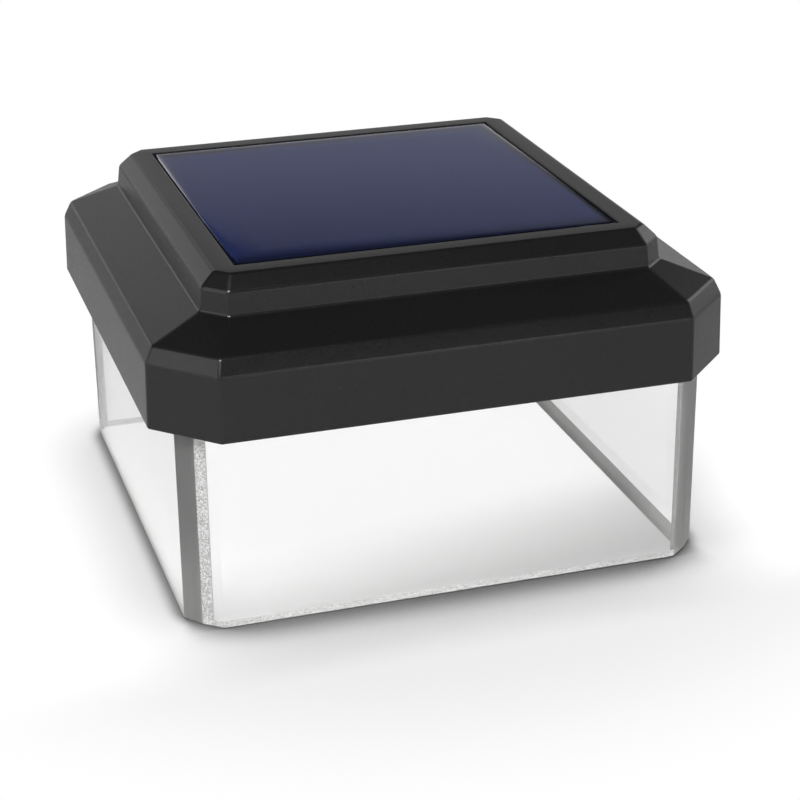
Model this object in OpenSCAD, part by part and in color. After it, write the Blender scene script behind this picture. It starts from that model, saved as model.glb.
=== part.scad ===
// Solar cap light for a square deck post.
// A black moulded cap carries a solar panel, a cell and a row of lamps above a clear box
// that is open at the bottom and slips over the end of the post.
// Origin: middle of the clear box's bottom rim, +Z up, the front faces -Y. Millimetres.

/* [Post] */
// Width of the square post (a nominal 4x4 post)
post_w = 88.9; // [85:0.1:140]
// Room on each side between the post and the clear box
post_gap = 1.05; // [0.5:0.05:6]
// Room at each corner between the post and the small facet inside the clear box
post_corner_gap = 0.35; // [0.2:0.05:0.5]

/* [Clear box] */
// Thickness of the clear walls
lens_wall = 4; // [1.6:0.1:5]
// Leg of the chamfer down each corner of the clear box
lens_cut = 6; // [4:0.5:9]
// Height of the clear box that shows below the cap
lens_show = 37.6; // [20:0.2:60]
// Thickness of the flange round the top of the clear box, on whose underside the post stops
flange_t = 3; // [3:0.25:6]
// Width of that flange, from the outside of the box
flange_w = 9.5; // [8.5:0.5:12]
// Height of the flange above the bottom edge of the skirt
flange_hide = 0.4; // [0:0.1:3]
// Distance along each side of the window in the flange that its corner gussets take
gusset_cut = 14; // [12:0.5:18]

/* [Cap] */
// How far the skirt stands out from the clear box at its sides
skirt_overhang = 4.5; // [3.8:0.1:8]
// How far the skirt stands out from the clear box at its corners
corner_overhang = 3.1; // [2.8:0.1:5]
// How far the skirt leans in over its height
skirt_draft = 0.3; // [0:0.1:0.6]
// Width of the bevel at the top of the skirt
skirt_bevel_w = 1.4; // [0.8:0.1:2]
// Height of the bevel at the top of the skirt
skirt_bevel_h = 3; // [2:0.25:4]
// Width of the shoulder, from the skirt's bottom edge in to the upper tier
shoulder_w = 11; // [10:0.25:12]
// Height of the sloping shoulder
slope_h = 3.7; // [2.5:0.1:5]
// Height of the upper tier's side
tier_h = 4.2; // [3:0.1:6]
// How far the upper tier leans in over that height
tier_draft = 0.5; // [0:0.1:0.8]
// Width of the bevel round the top of the upper tier
tier_bevel_w = 2.6; // [2:0.1:3.4]
// Height of that bevel
tier_bevel_h = 2.5; // [1.5:0.1:3.5]
// Thickness of the cap's walls
cap_wall = 2; // [1.5:0.1:2.4]

/* [Panel] */
// Width of the flat frame round the panel, from the top bevel in to the pocket
frame_w = 4; // [3:0.1:8]
// Gap round the panel in its pocket
panel_gap = 0.3; // [0.2:0.1:1.5]
// Depth of the panel's face below the frame
panel_recess = 0.4; // [0:0.1:1.5]
// Thickness of the clear cover of the panel
cover_t = 1.2; // [0.8:0.1:3]
// Thickness of the silicon cells
cell_t = 0.3; // [0.2:0.05:0.5]
// Number of silicon cells side by side
cell_count = 4; // [2:1:8]
// Gap between two silicon cells
cell_gap = 0.6; // [0.3:0.1:2]
// Margin of the panel's backing board round the silicon cells
cell_margin = 1.6; // [1:0.1:4]
// Thickness of the panel's backing board
panel_board_t = 1.2; // [0.8:0.1:2]
// Thickness of the tape under the panel
tape_t = 0.5; // [0.3:0.1:1]
// Width of the frame of tape
tape_w = 8; // [5:0.5:15]
// Thickness of the pocket's floor
pocket_floor = 1.6; // [1.2:0.1:3]
// Thickness of the pocket's side walls
pocket_wall = 1.5; // [1:0.1:2]
// Diameter of the hole for the panel's leads
lead_hole_d = 6; // [5:0.5:8]

/* [Base plate] */
// Thickness of the plate that closes the cap
plate_t = 2; // [1.6:0.1:3]
// Depth of the lamp channel round the plate
channel_h = 3; // [2.6:0.1:5]
// Width of the wall inside the lamp channel
channel_wall = 1.6; // [1:0.1:2]
// Thickness of the lamp channel's roof
channel_roof = 1.2; // [1:0.1:2]
// Gap between the plate and the cap
plate_gap = 0.25; // [0.15:0.05:0.4]
// Depth of the tabs that centre the clear box
tab_h = 1.4; // [0.8:0.1:2.4]
// Length of the tabs that centre the clear box
tab_len = 50; // [20:1:70]
// Gap between those tabs and the clear box
tab_gap = 0.15; // [0.05:0.05:0.3]
// Width of the gasket between the plate and the cap
gasket_w = 3; // [2:0.1:3.4]
// Thickness of the gasket when it is pressed
gasket_t = 1; // [0.6:0.1:2]
// Width of the rib in the cap that presses the gasket
rib_w = 1.6; // [1.2:0.1:2]

/* [Lamps] */
// Number of lamps on each side
lamps_per_side = 2; // [1:1:4]
// Distance between two lamps on a side
lamp_pitch = 32; // [12:1:36]
// Length of a lamp
lamp_l = 3.5; // [2:0.1:5]
// Width of a lamp
lamp_w = 2.8; // [2:0.1:4]
// Height of a lamp
lamp_h = 0.8; // [0.5:0.1:1.4]
// Width of the ring board that carries the lamps
lamp_board_w = 5.8; // [5:0.1:6]
// Thickness of the ring board
lamp_board_t = 1; // [0.8:0.1:1.2]

/* [Battery] */
// Diameter of the rechargeable cell (AA)
battery_d = 14.2; // [10.2:0.1:16]
// Length of the cell with its button
battery_len = 50; // [44:0.5:52]
// Room round the cell in its bay
bay_gap = 0.4; // [0.2:0.1:0.8]
// Thickness of the bay's walls
bay_wall = 1.4; // [1:0.1:2]
// Thickness of the bay's roof
bay_roof = 1.2; // [1:0.1:2]
// Headroom between the bay and the panel's pocket
bay_headroom = 0.6; // [0.3:0.1:4]
// Distance of the bay's middle behind the middle of the light
bay_y = 13; // [12:0.5:15]
// Length of the coil spring when the cell is in
spring_len = 6.2; // [5.6:0.1:9]
// Diameter of the coil spring
spring_d = 7.8; // [6:0.1:9]
// Diameter of the spring's wire
spring_wire = 0.8; // [0.5:0.05:0.8]
// Number of coils in the spring
spring_turns = 4; // [3:1:4]
// Thickness of the contact plates
contact_t = 0.4; // [0.3:0.05:0.6]
// Width of the contact plates
contact_w = 10; // [8:0.5:12]
// Length of a contact's solder tab outside the bay
solder_tab = 2; // [1.5:0.25:3]

/* [Battery door] */
// Thickness of the door
door_t = 1.8; // [1.4:0.1:2]
// Gap between the door and the plate
door_gap = 0.2; // [0.1:0.05:0.3]
// How far the door laps over the plate round its opening
door_lap = 1.8; // [1:0.1:3]
// Diameter of the hinge pin
pin_d = 1.5; // [1:0.1:1.6]
// Running clearance round the pin in the door, on the radius
pin_gap = 0.05; // [0.02:0.01:0.1]
// Diameter of the hinge knuckles
knuckle_d = 3.5; // [3:0.1:3.5]
// Gap between two knuckles
knuckle_gap = 0.3; // [0.2:0.05:0.6]
// Number of grip ribs along the door's free edge
grip_count = 4; // [0:1:6]
// Distance between two grip ribs
grip_pitch = 1.4; // [1:0.1:2]
// Height of a grip rib
grip_h = 0.4; // [0.2:0.1:0.6]
// Height of the door's two locating tabs
door_tab_h = 1.6; // [1:0.1:2.4]

/* [Switch] */
// Travel of the switch lever between off and on
switch_travel = 2; // [1:0.1:3]
// Length of the switch body
switch_l = 8.6; // [8:0.1:12]
// Width of the switch body
switch_w = 3.8; // [3.4:0.1:6]
// Height of the switch body
switch_h = 3.6; // [3:0.1:5]
// Width of the lever, in the direction in which it moves
lever_l = 1.8; // [1.2:0.1:2.4]
// Thickness of the lever
lever_w = 1.6; // [1:0.1:2]
// How far the lever stands out below the plate
lever_out = 1.6; // [1:0.1:2.4]
// Gap round the lever in its slot
lever_gap = 0.2; // [0.1:0.05:0.4]

/* [Driver board] */
// Length of the driver board
board_l = 36; // [34:1:44]
// Width of the driver board
board_w = 22; // [22:0.5:26]
// Thickness of the driver board
board_t = 1.2; // [0.8:0.1:1.6]
// Distance of the board's middle in front of the middle of the light
board_y = 20; // [19.5:0.5:21]
// Diameter of the pillars under the board
pillar_d = 5.2; // [4:0.1:6]
// Distance of the board's screws in from its edges
board_screw_in = 3.4; // [3:0.1:4]

/* [Parts on the driver board] */
// Length of the chip's body
chip_l = 5; // [4:0.1:6]
// Width of the chip's body
chip_w = 4; // [3:0.1:5]
// Height of the chip's body
chip_h = 1.45; // [1:0.05:2]
// Distance between two legs of the chip
leg_pitch = 1.27; // [1:0.01:1.3]
// Width of a leg
leg_w = 0.4; // [0.3:0.05:0.5]
// How far the legs stand out beside the chip
leg_out = 1; // [0.6:0.1:1.2]
// Diameter of the inductor's flanges
inductor_d = 8; // [6:0.1:8.5]
// Height of the inductor
inductor_h = 6; // [4:0.1:7]
// Thickness of the inductor's flanges
inductor_flange = 1; // [0.6:0.1:1.4]
// Depth of the winding below the rim of the flanges
winding_in = 0.7; // [0.3:0.1:1.2]
// Diameter of the capacitor
capacitor_d = 5; // [4:0.1:6]
// Height of the capacitor
capacitor_h = 7; // [5:0.1:7.6]
// Length of the diode's body
diode_l = 4; // [3:0.1:5]
// Diameter of the diode's body
diode_d = 2.4; // [1.8:0.1:2.6]
// Thickness of the diode's legs
diode_leg = 0.6; // [0.4:0.1:0.8]

/* [Screws] */
// Diameter of the screws through the clear box and the plate
screw_d = 2.6; // [2:0.1:3]
// Length of those screws under the head
screw_len = 12; // [9:0.5:14]
// Diameter of their heads
head_d = 5; // [4:0.1:5.6]
// Height of their heads
head_h = 1.5; // [1:0.1:1.6]
// Width of the cross recess in those heads
recess_w = 2.8; // [2:0.1:3.2]
// Depth of that recess
recess_depth = 0.9; // [0.5:0.1:1]
// Gap round a screw in a through hole
screw_gap = 0.3; // [0.1:0.05:0.5]
// Distance of the screws in from the outside of the clear box
screw_in = 12; // [11.5:0.25:12.5]
// Diameter of the screw bosses in the cap
boss_d = 6.4; // [5.6:0.1:7]
// Diameter of the driver board's screws
small_screw_d = 2; // [1.6:0.1:2.4]
// Diameter of their heads
small_head_d = 4; // [3.4:0.1:4.4]
// Height of their heads
small_head_h = 1.3; // [1:0.1:1.6]

/* [Hidden] */

eps = 0.01;
round_fn = 48;
hidden_fn = 32;
tight_gap = 0.05;   // round a screw in its pilot hole and a pin in a fixed knuckle

// Half widths. Every outline is an octagon: a square with its corners cut off at 45 degrees.
cut_rate = 2 - sqrt(2);  // how fast the cut shrinks as an outline is offset inwards
lens_in = post_w / 2 + post_gap;
lens_in_cut = 2 * post_gap - sqrt(2) * post_corner_gap;
lens_half = lens_in + lens_wall;
cap_half = lens_half + skirt_overhang;
cap_cut = lens_cut + 2 * skirt_overhang - sqrt(2) * corner_overhang;
tier_half = cap_half - shoulder_w;
top_half = tier_half - tier_draft - tier_bevel_w;
pocket_half = top_half - frame_w;
panel_half = pocket_half - panel_gap;
plate_half = cap_half - cap_wall - skirt_draft - plate_gap;
window_half = lens_half - flange_w;

// Heights, from the bottom rim of the clear box upwards
skirt_z = lens_show;
stop_z = skirt_z + flange_hide;
plate_z = stop_z + flange_t;
plate_top = plate_z + plate_t;
roof_z = plate_z + channel_h + channel_roof;
rib_z = roof_z + gasket_t;
battery_z = plate_z + bay_gap + battery_d / 2;
bay_top = battery_z + battery_d / 2 + bay_gap;
pocket_under = bay_top + bay_roof + bay_headroom;
tape_z = pocket_under + pocket_floor;
panel_board_z = tape_z + tape_t;
cell_z = panel_board_z + panel_board_t;
cover_z = cell_z + cell_t;
total_h = cover_z + cover_t + panel_recess;
tier_top_z = total_h - tier_bevel_h;
slope_top_z = tier_top_z - tier_h;
bevel_top_z = slope_top_z - slope_h;
skirt_top_z = bevel_top_z - skirt_bevel_h;
inner_drop = 0.6 * cap_wall;  // how far the cavity's edges lie below the outer ones

// Lamp channel, gasket and rib
lamp_board_gap = 0.2;
channel_out = lens_half - 0.1;
lamp_board_out = channel_out - lamp_board_gap;
lamp_board_in = lamp_board_out - lamp_board_w;
channel_in = lamp_board_in - 2 * lamp_board_gap;
well_half = channel_in - channel_wall;
lamp_board_z = plate_z + channel_h - lamp_board_t;
lamp_line = lamp_board_out - lamp_board_gap - lamp_w / 2;
stake_d = 1.6;
stake_gap = 0.1;
stake_head_d = 2.8;
stake_head_t = 0.4;
stake_line = lamp_board_in + stake_d / 2 + 0.8;
gasket_mid = lens_half - 2;
rib_top = bevel_top_z + slope_h * (cap_half - gasket_mid - skirt_draft - skirt_bevel_w)
          / (shoulder_w - skirt_draft - skirt_bevel_w) - cap_wall / 2;

// Battery bay and its contacts
bay_half_w = battery_d / 2 + bay_gap;
bay_len = battery_len + spring_len + 2 * contact_t;
bay_end = bay_len / 2;
battery_tip_x = bay_end - contact_t;
battery_foot_x = battery_tip_x - battery_len;
button_d = 5.5;
button_h = 1.2;
contact_h = 9;
tab_w = 3;
tab_gap_in_wall = 0.2;
tab_z = battery_z + contact_h / 2 - contact_t;

// Door and hinge
door_half_l = bay_end + door_lap;
door_top = plate_z - door_gap;
door_z = door_top - door_t;
door_free_y = bay_y - bay_half_w - door_lap;
hinge_sink = 0.1;      // the knuckles' height above the underside of the flange
hinge_out = 1.4;       // from the bay's opening to the knuckles
swing_gap = 0.55;      // between the knuckles and the edge of the door
hinge_z = stop_z + hinge_sink + knuckle_d / 2;
hinge_y = bay_y + bay_half_w + knuckle_d / 2 + hinge_out;
door_edge_y = hinge_y - knuckle_d / 2 - swing_gap;
knuckle_count = 5;
knuckle_span = 50;
knuckle_l = (knuckle_span - (knuckle_count - 1) * knuckle_gap) / knuckle_count;
door_tab_l = 8;
door_tab_t = 1.1;
door_tab_gap = 0.35;
lip_l = 14;
lip_w = 1.6;
lip_t = 1;
grip_w = 0.6;
relief_gap = 0.25;     // round the door's knuckles under the plate
pin_end = 1;           // how far the pin stops short of the first knuckle's outer face

// Driver board and what is on it
board_mid_y = -board_y;
board_z = plate_top + switch_h;
board_top = board_z + board_t;
board_screws = [
  [-(board_l / 2 - board_screw_in), board_mid_y + board_w / 2 - board_screw_in],
  [board_l / 2 - board_screw_in, board_mid_y - board_w / 2 + board_screw_in]
];
board_screw_len = board_t + switch_h - 0.6;
chip_mid = [11.5 - board_l / 2, board_mid_y - 1];
inductor_mid = [2.5, board_mid_y + 1];
capacitor_mid = [board_l / 2 - 6.5, board_mid_y + 1];
diode_mid = [0.5, board_mid_y + board_w / 2 - 2.5];
leg_gap = 0.15;        // between the chip's body and the board
leg_bend = 1.5;        // from the end of the diode's body to where its leg turns down
switch_wall = 0.6;
carriage_gap = 0.1;
carriage_side = 0.15;
carriage_out = 0.9;    // how far the carriage stands out past the lever at each end
switch_y = board_mid_y - board_w / 2 + 1 + switch_w / 2;
lever_x = -switch_travel / 2;
carriage_h = 1.2;
carriage_z = plate_top + switch_wall + carriage_gap;

// Screws through the clear box and the plate
screw_line = lens_half - screw_in;
screw_sides = [[-1, -1], [1, -1], [1, 1], [-1, 1]];
head_sink = 0.1;
recess_slot = 0.6;     // width of one arm of the cross recess
sink_depth = head_h + head_sink;
seat_z = stop_z + sink_depth;
pilot_spare = 1.5;
pilot_depth = screw_len - (plate_top - seat_z) + pilot_spare;

// Leads: diameter, steps between two points of a route, and the routes, end to end
lead_d = 1.2;
lead_sides = 8;
lead_steps = 3;
lead_hole_y = -4;
lead_x = bay_end + bay_wall + 1.1;
lead_z = tab_z + contact_t + lead_d / 2;
lamp_lead_x = -(lamp_board_in + 1);
lamp_lead_hole_d = 2.2;
lamp_lead_y = [-21, -25];
panel_red_route = [
  [1.4, -4, panel_board_z], [1.4, -4, panel_board_z - 1.3], [1.4, -4, 57.2], [3, -5.5, 54.6],
  [6.6, -9, 52.4], [8.4, -11, 51], [8.5, -11.4, 49.8], [8.5, -11.4, 48.8], [8.5, -11.4, 47.8]
];
panel_black_route = [
  [-1.4, -4, panel_board_z], [-1.4, -4, panel_board_z - 1.3], [-1.4, -4, 57.2], [-3, -5.5, 54.6],
  [-5.8, -9, 52.4], [-7.4, -11, 51], [-7.5, -11.4, 49.8], [-7.5, -11.4, 48.8], [-7.5, -11.4, 47.8]
];
battery_red_route = [
  [lead_x, 14.4, lead_z], [lead_x, 12.8, lead_z], [lead_x, 11, lead_z], [lead_x, 6, 52.4], [28.5, -1, 51],
  [22, -7, 50.4], [16.8, -11, 50.4], [15.6, -12.6, 49.8], [15.6, -12.6, 48.8], [15.6, -12.6, 47.8]
];
battery_black_route = [
  [-lead_x, 14.4, lead_z], [-lead_x, 12.8, lead_z], [-lead_x, 11, lead_z], [-lead_x, 5, 52.4],
  [-29.5, -3, 51],
  [-24, -11, 50.4], [-18, -16.2, 50.4], [-16, -17.4, 49.8], [-16, -17.4, 48.8], [-16, -17.4, 47.8]
];
lamp_red_route = [
  [-16, -21, 47.8], [-16, -21, 48.8], [-16.2, -21, 49.8], [-20, -21, 50.8], [-28, -21, 50.2],
  [-37, -21, 49.4], [-43, -21, 48.4], [lamp_lead_x + 0.1, -21, 47],
  [lamp_lead_x, -21, 46], [lamp_lead_x, -21, 45], [lamp_lead_x, -21, 44]
];
lamp_black_route = [
  [-16, -25, 47.8], [-16, -25, 48.8], [-16.2, -25, 49.8], [-20, -25, 50.8], [-28, -25, 50.2],
  [-37, -25, 49.4], [-43, -25, 48.4], [lamp_lead_x + 0.1, -25, 47],
  [lamp_lead_x, -25, 46], [lamp_lead_x, -25, 45], [lamp_lead_x, -25, 44]
];

// ---- shapes ----

// Leg of the cut on an outline offset inwards from half0 to half
function cut_at(half0, cut0, half) = cut0 - cut_rate * (half0 - half);
function lens_cut_at(half) = cut_at(lens_half, lens_cut, half);
function cap_cut_at(half) = cut_at(cap_half, cap_cut, half);

function oct_points(half, cut) = [
  [half, cut - half], [half, half - cut], [half - cut, half], [cut - half, half],
  [-half, half - cut], [-half, cut - half], [cut - half, -half], [half - cut, -half]
];

module oct(half, cut) {
  polygon(oct_points(half, cut));
}

module oct_block(half, cut, z0, z1) {
  translate([0, 0, z0])
    linear_extrude(z1 - z0)
      oct(half, cut);
}

module oct_ring(out_half, in_half, z0, z1) {
  translate([0, 0, z0])
    linear_extrude(z1 - z0)
      difference() {
        oct(out_half, lens_cut_at(out_half));
        oct(in_half, lens_cut_at(in_half));
      }
}

// Solid through a stack of the cap's outlines, each given as [half width, height]
module cap_loft(rings) {
  count = len(rings);
  points = [
    for (r = rings) for (p = oct_points(r[0], cap_cut_at(r[0]))) [p.x, p.y, r[1]]
  ];
  sides = [
    for (i = [0:count - 2]) for (j = [0:7])
      [i * 8 + j, (i + 1) * 8 + j, (i + 1) * 8 + (j + 1) % 8, i * 8 + (j + 1) % 8]
  ];
  polyhedron(points, concat([[for (j = [0:7]) j]], sides, [[for (j = [7:-1:0]) (count - 1) * 8 + j]]));
}

module slab(half, z0, z1) {
  translate([-half, -half, z0])
    cube([2 * half, 2 * half, z1 - z0]);
}

module block(x0, x1, y0, y1, z0, z1) {
  translate([x0, y0, z0])
    cube([x1 - x0, y1 - y0, z1 - z0]);
}

module rod(x, y, z0, z1, d, fn = round_fn) {
  translate([x, y, z0])
    cylinder(h = z1 - z0, d = d, $fn = fn);
}

module rod_x(x0, x1, y, z, d, fn = round_fn) {
  translate([x0, y, z])
    rotate([0, 90, 0])
      cylinder(h = x1 - x0, d = d, $fn = fn);
}

module at_screws() {
  for (s = screw_sides)
    translate([s.x * screw_line, s.y * screw_line, 0])
      children();
}

module on_each_side() {
  for (a = [0:90:270])
    rotate([0, 0, a])
      children();
}

function unit(v) = v / norm(v);
function catmull(a, b, c, d, t) =
  0.5 * (2 * b + (c - a) * t + (2 * a - 5 * b + 4 * c - d) * t * t + (3 * b - a - 3 * c + d) * t * t * t);
function smooth(p, n) = [
  for (i = [0:len(p) - 2]) for (k = [0:n - 1])
    catmull(p[max(i - 1, 0)], p[i], p[i + 1], p[min(i + 2, len(p) - 1)], k / n),
  p[len(p) - 1]
];
function tangents(q) = [for (i = [0:len(q) - 1]) unit(q[min(i + 1, len(q) - 1)] - q[max(i - 1, 0)])];
function carried(n, t) = unit(n - t * (n * t));
function first_normal(t) = carried(abs(t.z) < 0.9 ? [0, 0, 1] : [1, 0, 0], t);
function normals(t) = [
  for (i = 0, n = first_normal(t[0]); i < len(t); n = carried(n, t[min(i + 1, len(t) - 1)]), i = i + 1) n
];

// Round tube along the points q
module tube(q, d, sides) {
  t = tangents(q);
  n = normals(t);
  count = len(q);
  points = [
    for (i = [0:count - 1]) for (k = [0:sides - 1])
      q[i] + d / 2 * (cos(360 * k / sides) * n[i] + sin(360 * k / sides) * cross(t[i], n[i]))
  ];
  walls = [
    for (i = [0:count - 2]) for (k = [0:sides - 1])
      [i * sides + k, (i + 1) * sides + k, (i + 1) * sides + (k + 1) % sides, i * sides + (k + 1) % sides]
  ];
  ends = [[for (k = [0:sides - 1]) k], [for (k = [sides - 1:-1:0]) (count - 1) * sides + k]];
  polyhedron(points, concat([ends[0]], walls, [ends[1]]));
}

module lead(route) {
  tube(smooth(route, lead_steps), lead_d, lead_sides);
}

// ---- cap and panel ----

module cap_outside() {
  cap_loft([
    [cap_half, skirt_z],
    [cap_half - skirt_draft, skirt_top_z],
    [cap_half - skirt_draft - skirt_bevel_w, bevel_top_z],
    [tier_half, slope_top_z],
    [tier_half - tier_draft, tier_top_z],
    [top_half, total_h]
  ]);
}

module cap_cavity() {
  cap_loft([
    [cap_half - cap_wall, skirt_z - 1],
    [cap_half - cap_wall, skirt_z],
    [cap_half - cap_wall - skirt_draft, skirt_top_z - inner_drop],
    [cap_half - cap_wall - skirt_draft - skirt_bevel_w, bevel_top_z - inner_drop],
    [tier_half - cap_wall, slope_top_z - inner_drop],
    [tier_half - cap_wall - tier_draft, tier_top_z - inner_drop],
    [top_half - inner_drop, total_h - cap_wall]
  ]);
}

// One moulding: skirt, shoulder and upper tier, with the panel's pocket, the gasket rib and the bosses
module cap_shell() {
  color("#242425")
    difference() {
      cap_outside();
      difference() {
        cap_cavity();
        slab(pocket_half + pocket_wall, pocket_under, total_h);
        oct_ring(gasket_mid + rib_w / 2, gasket_mid - rib_w / 2, rib_z, rib_top);
        at_screws()
          rod(0, 0, plate_top, total_h, boss_d);
      }
      slab(pocket_half, tape_z, total_h + 1);
      rod(0, lead_hole_y, pocket_under - 1, tape_z + 1, lead_hole_d);
      at_screws()
        rod(0, 0, plate_top - 1, plate_top + pilot_depth, screw_d + 2 * tight_gap);
    }
}

module panel_cover() {
  color("#2c3566", 0.6)
    slab(panel_half, cover_z, cover_z + cover_t);
}

module solar_cells() {
  field = 2 * (panel_half - cell_margin);
  cell_w = (field - (cell_count - 1) * cell_gap) / cell_count;
  color("#1d2450")
    for (i = [0:cell_count - 1])
      translate([-field / 2 + i * (cell_w + cell_gap), -field / 2, cell_z])
        cube([cell_w, field, cell_t]);
}

module panel_board() {
  color("#1b2040")
    slab(panel_half, panel_board_z, cell_z);
}

module panel_tape() {
  color("#3a3a3a")
    difference() {
      slab(panel_half, tape_z, panel_board_z);
      slab(panel_half - tape_w, tape_z - 1, panel_board_z + 1);
    }
}

// ---- clear box ----

module lens_box() {
  color("#e9eef0", 0.35)
    difference() {
      oct_block(lens_half, lens_cut, 0, plate_z);
      oct_block(lens_in, lens_in_cut, -1, stop_z);
      oct_block(window_half, gusset_cut, stop_z - 1, plate_z + 1);
      at_screws() {
        rod(0, 0, stop_z - 1, seat_z, head_d + 2 * screw_gap);
        rod(0, 0, stop_z, plate_z + 1, screw_d + 2 * screw_gap);
      }
    }
}

module lens_screws() {
  head_z = seat_z - head_h;
  color("#9a9c9e")
    at_screws()
      difference() {
        union() {
          rod(0, 0, head_z, seat_z, head_d);
          rod(0, 0, seat_z - eps, seat_z + screw_len, screw_d);
        }
        for (a = [0, 90])
          rotate([0, 0, a])
            block(-recess_w / 2, recess_w / 2, -recess_slot / 2, recess_slot / 2,
                  head_z - 1, head_z + recess_depth);
      }
}

// ---- base plate ----

module base_body() {
  oct_block(plate_half, cap_cut_at(plate_half), plate_z, roof_z);
  on_each_side()
    block(-tab_len / 2, tab_len / 2, lens_half + tab_gap, plate_half, plate_z - tab_h, plate_z + eps);
}

module bay_outside() {
  block(-bay_end - bay_wall, bay_end + bay_wall,
        bay_y - bay_half_w - bay_wall, bay_y + bay_half_w + bay_wall, plate_z, bay_top + bay_roof);
}

module bay_inside() {
  block(-bay_end, bay_end, bay_y - bay_half_w, bay_y + bay_half_w, plate_z - 1, bay_top);
}

module tab_slots() {
  for (s = [-1, 1])
    block(s * (bay_end + bay_wall / 2) - bay_wall, s * (bay_end + bay_wall / 2) + bay_wall,
          bay_y - tab_w / 2 - tab_gap_in_wall, bay_y + tab_w / 2 + tab_gap_in_wall,
          tab_z - tab_gap_in_wall, tab_z + contact_t + tab_gap_in_wall);
}

function knuckle_x(i) = -knuckle_span / 2 + i * (knuckle_l + knuckle_gap);

module plate_knuckles() {
  for (i = [0:2:knuckle_count - 1]) {
    rod_x(knuckle_x(i), knuckle_x(i) + knuckle_l, hinge_y, hinge_z, knuckle_d);
    block(knuckle_x(i), knuckle_x(i) + knuckle_l, hinge_y - knuckle_d / 2, hinge_y + knuckle_d / 2,
          hinge_z, plate_z + eps);
  }
}

module knuckle_reliefs() {
  for (i = [1:2:knuckle_count - 1])
    rod_x(knuckle_x(i) - knuckle_gap, knuckle_x(i) + knuckle_l + knuckle_gap, hinge_y, hinge_z,
          knuckle_d + 2 * relief_gap);
}

module stakes() {
  on_each_side() {
    rod(0, stake_line, lamp_board_z - stake_head_t, plate_z + channel_h + eps, stake_d, hidden_fn);
    rod(0, stake_line, lamp_board_z - stake_head_t, lamp_board_z, stake_head_d, hidden_fn);
  }
}

// One moulding: plate, lamp channel, battery bay, board pillars, hinge knuckles and the lamp board's stakes
module base_plate() {
  color("#d9d9d6")
    difference() {
      union() {
        difference() {
          base_body();
          oct_ring(channel_out, channel_in, plate_z - 1, plate_z + channel_h);
          oct_block(well_half, lens_cut_at(well_half), plate_top, roof_z + 1);
        }
        bay_outside();
        plate_knuckles();
        stakes();
        for (p = board_screws)
          rod(p.x, p.y, plate_top - eps, board_z, pillar_d);
      }
      bay_inside();
      tab_slots();
      knuckle_reliefs();
      rod_x(knuckle_x(0) + pin_end, knuckle_x(knuckle_count - 1) + knuckle_l + 1, hinge_y, hinge_z,
            pin_d + 2 * tight_gap);
      lever_slot(plate_z - 1, plate_top + 1);
      for (p = board_screws)
        rod(p.x, p.y, board_top - board_screw_len - tight_gap, board_z + 1, small_screw_d + 2 * tight_gap);
      for (y = lamp_lead_y)
        rod(lamp_lead_x, y, plate_z + channel_h - 1, roof_z + 1, lamp_lead_hole_d, hidden_fn);
      at_screws()
        rod(0, 0, plate_z - 1, plate_top + 1, screw_d + 2 * screw_gap);
    }
}

module base_gasket() {
  color("#2f3133")
    oct_ring(gasket_mid + gasket_w / 2, gasket_mid - gasket_w / 2, roof_z, rib_z);
}

// ---- lamps ----

module lamp_board() {
  color("#f1f1ec")
    difference() {
      oct_ring(lamp_board_out, lamp_board_in, lamp_board_z, lamp_board_z + lamp_board_t);
      on_each_side()
        rod(0, stake_line, lamp_board_z - 1, plate_z + channel_h + 1, stake_d + 2 * stake_gap, hidden_fn);
    }
}

module lamps() {
  color("#f6e7a0")
    on_each_side()
      for (i = [0:lamps_per_side - 1])
        translate([(i - (lamps_per_side - 1) / 2) * lamp_pitch - lamp_l / 2, lamp_line - lamp_w / 2,
                   lamp_board_z - lamp_h])
          cube([lamp_l, lamp_w, lamp_h]);
}

// ---- driver board ----

module driver_board() {
  color("#2f6b3c")
    difference() {
      translate([0, board_mid_y, board_z])
        block(-board_l / 2, board_l / 2, -board_w / 2, board_w / 2, 0, board_t);
      for (p = board_screws)
        rod(p.x, p.y, board_z - 1, board_top + 1, small_screw_d + screw_gap);
    }
}

module driver_screws() {
  color("#a8aaac")
    for (p = board_screws) {
      rod(p.x, p.y, board_top, board_top + small_head_h, small_head_d);
      rod(p.x, p.y, board_top - board_screw_len, board_top + eps, small_screw_d);
    }
}

// A small eight-legged chip
module driver_chip() {
  translate([chip_mid.x, chip_mid.y, board_top]) {
    color("#1f1f20")
      block(-chip_l / 2, chip_l / 2, -chip_w / 2, chip_w / 2, leg_gap, leg_gap + chip_h);
    color("#b9bbbd")
      for (i = [0:3])
        translate([(i - 1.5) * leg_pitch - leg_w / 2, -chip_w / 2 - leg_out, 0])
          difference() {
            cube([leg_w, chip_w + 2 * leg_out, leg_w]);
            translate([-leg_w / 2, leg_out, -leg_w / 2])
              cube([2 * leg_w, chip_w, 2 * leg_w]);
          }
  }
}

// A drum core with its winding between the flanges
module inductor() {
  r = inductor_d / 2;
  winding_r = r - winding_in;
  top = inductor_h - inductor_flange;
  translate([inductor_mid.x, inductor_mid.y, board_top])
    color("#6b3f25")
      rotate_extrude($fn = round_fn)
        polygon([[0, 0], [r, 0], [r, inductor_flange], [winding_r, inductor_flange],
                 [winding_r, top], [r, top], [r, inductor_h], [0, inductor_h]]);
}

module capacitor() {
  translate([capacitor_mid.x, capacitor_mid.y, board_top])
    color("#27324f")
      cylinder(h = capacitor_h, d = capacitor_d, $fn = round_fn);
}

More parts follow.
